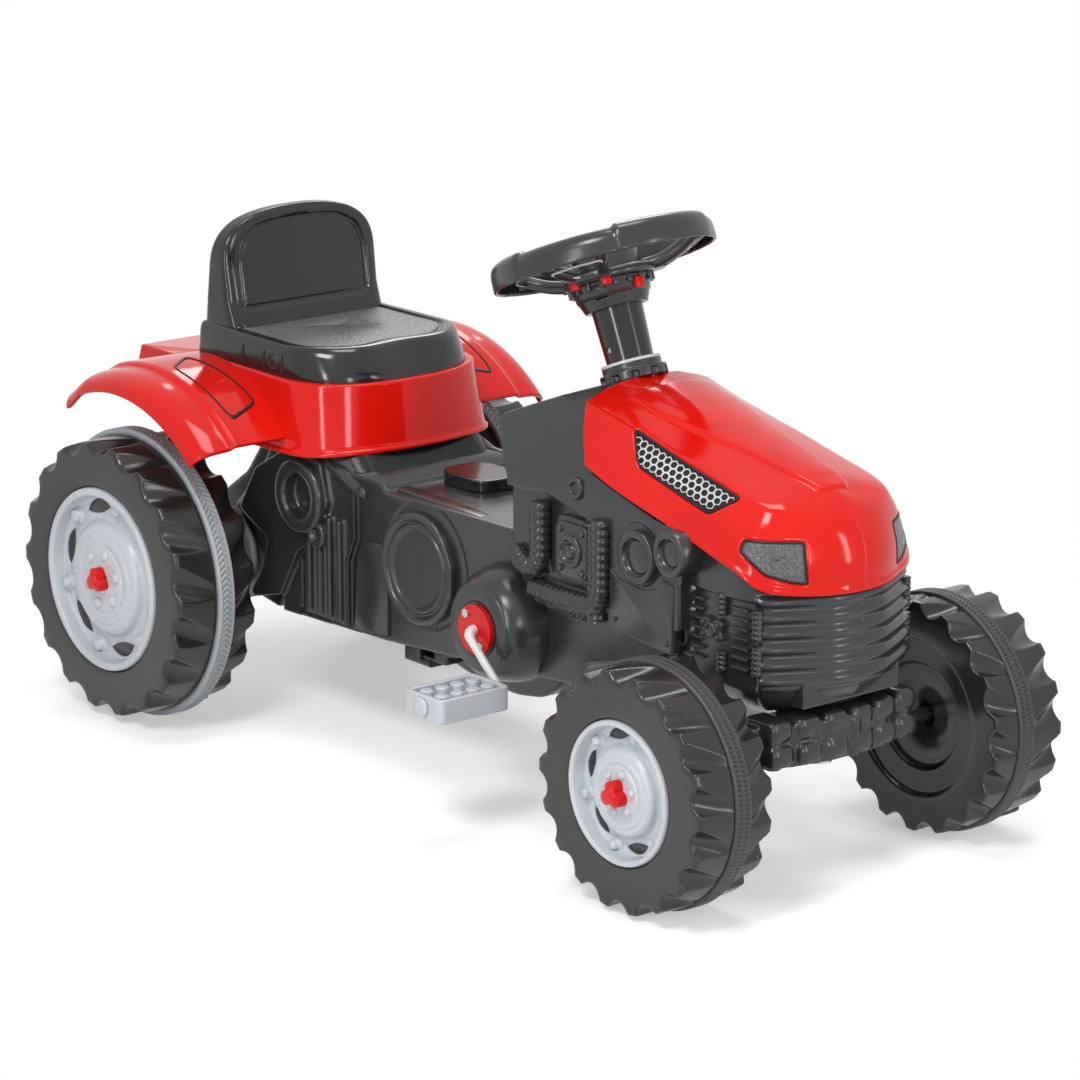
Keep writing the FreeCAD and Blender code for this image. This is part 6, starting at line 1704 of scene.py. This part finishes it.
# Distance over which the floor runs out to plain white
FLOOR_SPAN = (0.50, 0.86)
WHITE_LIGHT = (1.0, 1.0, 1.0, 1.0)
SOFT_LIGHT = 0.30
# Area lamps: name, place, target, sides and watts
LAMPS = [("key", (0.9, -1.7, 2.3), (0.0, 0.0, 0.25), (0.75, 0.75), 33.0),
         ("top", (0.1, 0.2, 2.6), (0.0, 0.0, 0.2), (0.9, 0.9), 20.0),
         ("strip_side", (0.95, -2.3, 0.80), (0.1, 0.0, 0.30), (0.22, 1.2), 13.0),
         ("strip_front", (2.45, 0.55, 0.80), (0.1, 0.0, 0.30), (0.22, 1.2), 10.0),
         ("fill", (2.5, -0.95, 0.65), (0.0, 0.0, 0.20), (0.35, 0.7), 9.0),
         ("back", (-1.7, 1.4, 1.8), (0.0, 0.0, 0.3), (0.8, 0.8), 12.0)]
CAMERA_LENS = 147.9
CAMERA_SENSOR = 36.0
CAMERA_TARGET = Vector((0.0248, 0.0, 0.21784))
CAMERA_TURN = math.radians(50.67)
CAMERA_RISE = math.radians(15.0)
CAMERA_DISTANCE = 4.0755
CAMERA_END = 100.0


def seen_rays(tree):
    """One for rays from the camera, off gloss and through clear matter, nought for the others."""
    path = tree.nodes.new("ShaderNodeLightPath")
    total = path.outputs["Is Camera Ray"]
    for name in ("Is Glossy Ray", "Is Transmission Ray"):
        join = node_of(tree, "ShaderNodeMath", operation="MAXIMUM")
        tree.links.new(total, join.inputs[0])
        tree.links.new(path.outputs[name], join.inputs[1])
        total = join.outputs[0]
    return total


def shader_mix(tree, share, first, second):
    mix = tree.nodes.new("ShaderNodeMixShader")
    tree.links.new(share, mix.inputs[0])
    tree.links.new(first.outputs[0], mix.inputs[1])
    tree.links.new(second.outputs[0], mix.inputs[2])
    return mix


def floor_material():
    """White floor that keeps the near shadow and runs out to plain white further away."""
    material = bpy.data.materials.new("floor_white")
    material.use_nodes = True
    tree = material.node_tree
    tree.nodes.clear()
    out = tree.nodes.new("ShaderNodeOutputMaterial")
    matt = node_of(tree, "ShaderNodeBsdfDiffuse", Color=FLOOR_GREY)
    lift = node_of(tree, "ShaderNodeEmission", Color=WHITE_LIGHT, Strength=FLOOR_LIFT)
    white = node_of(tree, "ShaderNodeEmission", Color=WHITE_LIGHT, Strength=1.0)
    near = tree.nodes.new("ShaderNodeAddShader")
    tree.links.new(matt.outputs[0], near.inputs[0])
    tree.links.new(lift.outputs[0], near.inputs[1])
    place = tree.nodes.new("ShaderNodeTexCoord")
    span = node_of(tree, "ShaderNodeVectorMath", operation="LENGTH")
    tree.links.new(place.outputs["Object"], span.inputs[0])
    far = ranged(tree, span.outputs["Value"], 0.0, 1.0, *FLOOR_SPAN)
    shown = shader_mix(tree, far, near, white)
    pick = shader_mix(tree, seen_rays(tree), matt, shown)
    tree.links.new(pick.outputs[0], out.inputs["Surface"])
    return material


def white_world():
    """A soft even light that shows plain white to the camera and in gloss."""
    world = bpy.data.worlds.new("studio")
    world.use_nodes = True
    tree = world.node_tree
    tree.nodes.clear()
    out = tree.nodes.new("ShaderNodeOutputWorld")
    soft = node_of(tree, "ShaderNodeBackground", Color=WHITE_LIGHT, Strength=SOFT_LIGHT)
    white = node_of(tree, "ShaderNodeBackground", Color=WHITE_LIGHT, Strength=1.0)
    pick = shader_mix(tree, seen_rays(tree), soft, white)
    tree.links.new(pick.outputs[0], out.inputs["Surface"])
    return world


def lamp(name, place, target, size, power):
    data = bpy.data.lights.new(name, "AREA")
    data.shape = "RECTANGLE"
    data.size, data.size_y = size
    data.energy = power
    obj = bpy.data.objects.new(name, data)
    bpy.context.scene.collection.objects.link(obj)
    obj.location = place
    obj.rotation_euler = (Vector(target) - Vector(place)).to_track_quat("-Z", "Y").to_euler()


def studio():
    scene = bpy.context.scene
    scene.view_settings.view_transform = "Standard"
    size = FLOOR_SIZE
    corners = [(-size, -size, 0), (size, -size, 0), (size, size, 0), (-size, size, 0)]
    floor_mesh = bpy.data.meshes.new("floor")
    floor_mesh.from_pydata(corners, [], [(0, 1, 2, 3)])
    floor_mesh.materials.append(floor_material())
    floor = bpy.data.objects.new("floor", floor_mesh)
    scene.collection.objects.link(floor)
    scene.world = white_world()
    for row in LAMPS:
        lamp(*row)


def camera():
    data = bpy.data.cameras.new("camera")
    data.lens = CAMERA_LENS
    data.sensor_width = CAMERA_SENSOR
    data.clip_end = CAMERA_END
    obj = bpy.data.objects.new("camera", data)
    bpy.context.scene.collection.objects.link(obj)
    level = math.cos(CAMERA_RISE)
    way = Vector((math.sin(CAMERA_TURN) * level, -math.cos(CAMERA_TURN) * level, math.sin(CAMERA_RISE)))
    obj.location = CAMERA_TARGET + CAMERA_DISTANCE * way
    obj.rotation_euler = (-way).to_track_quat("-Z", "Y").to_euler()
    bpy.context.scene.camera = obj


carried_over()
wheels()
hood_fittings(hood())
rear_body()
seat()
chassis()
cowl()
beam()
steering()
small_mouldings()
studio()
camera()
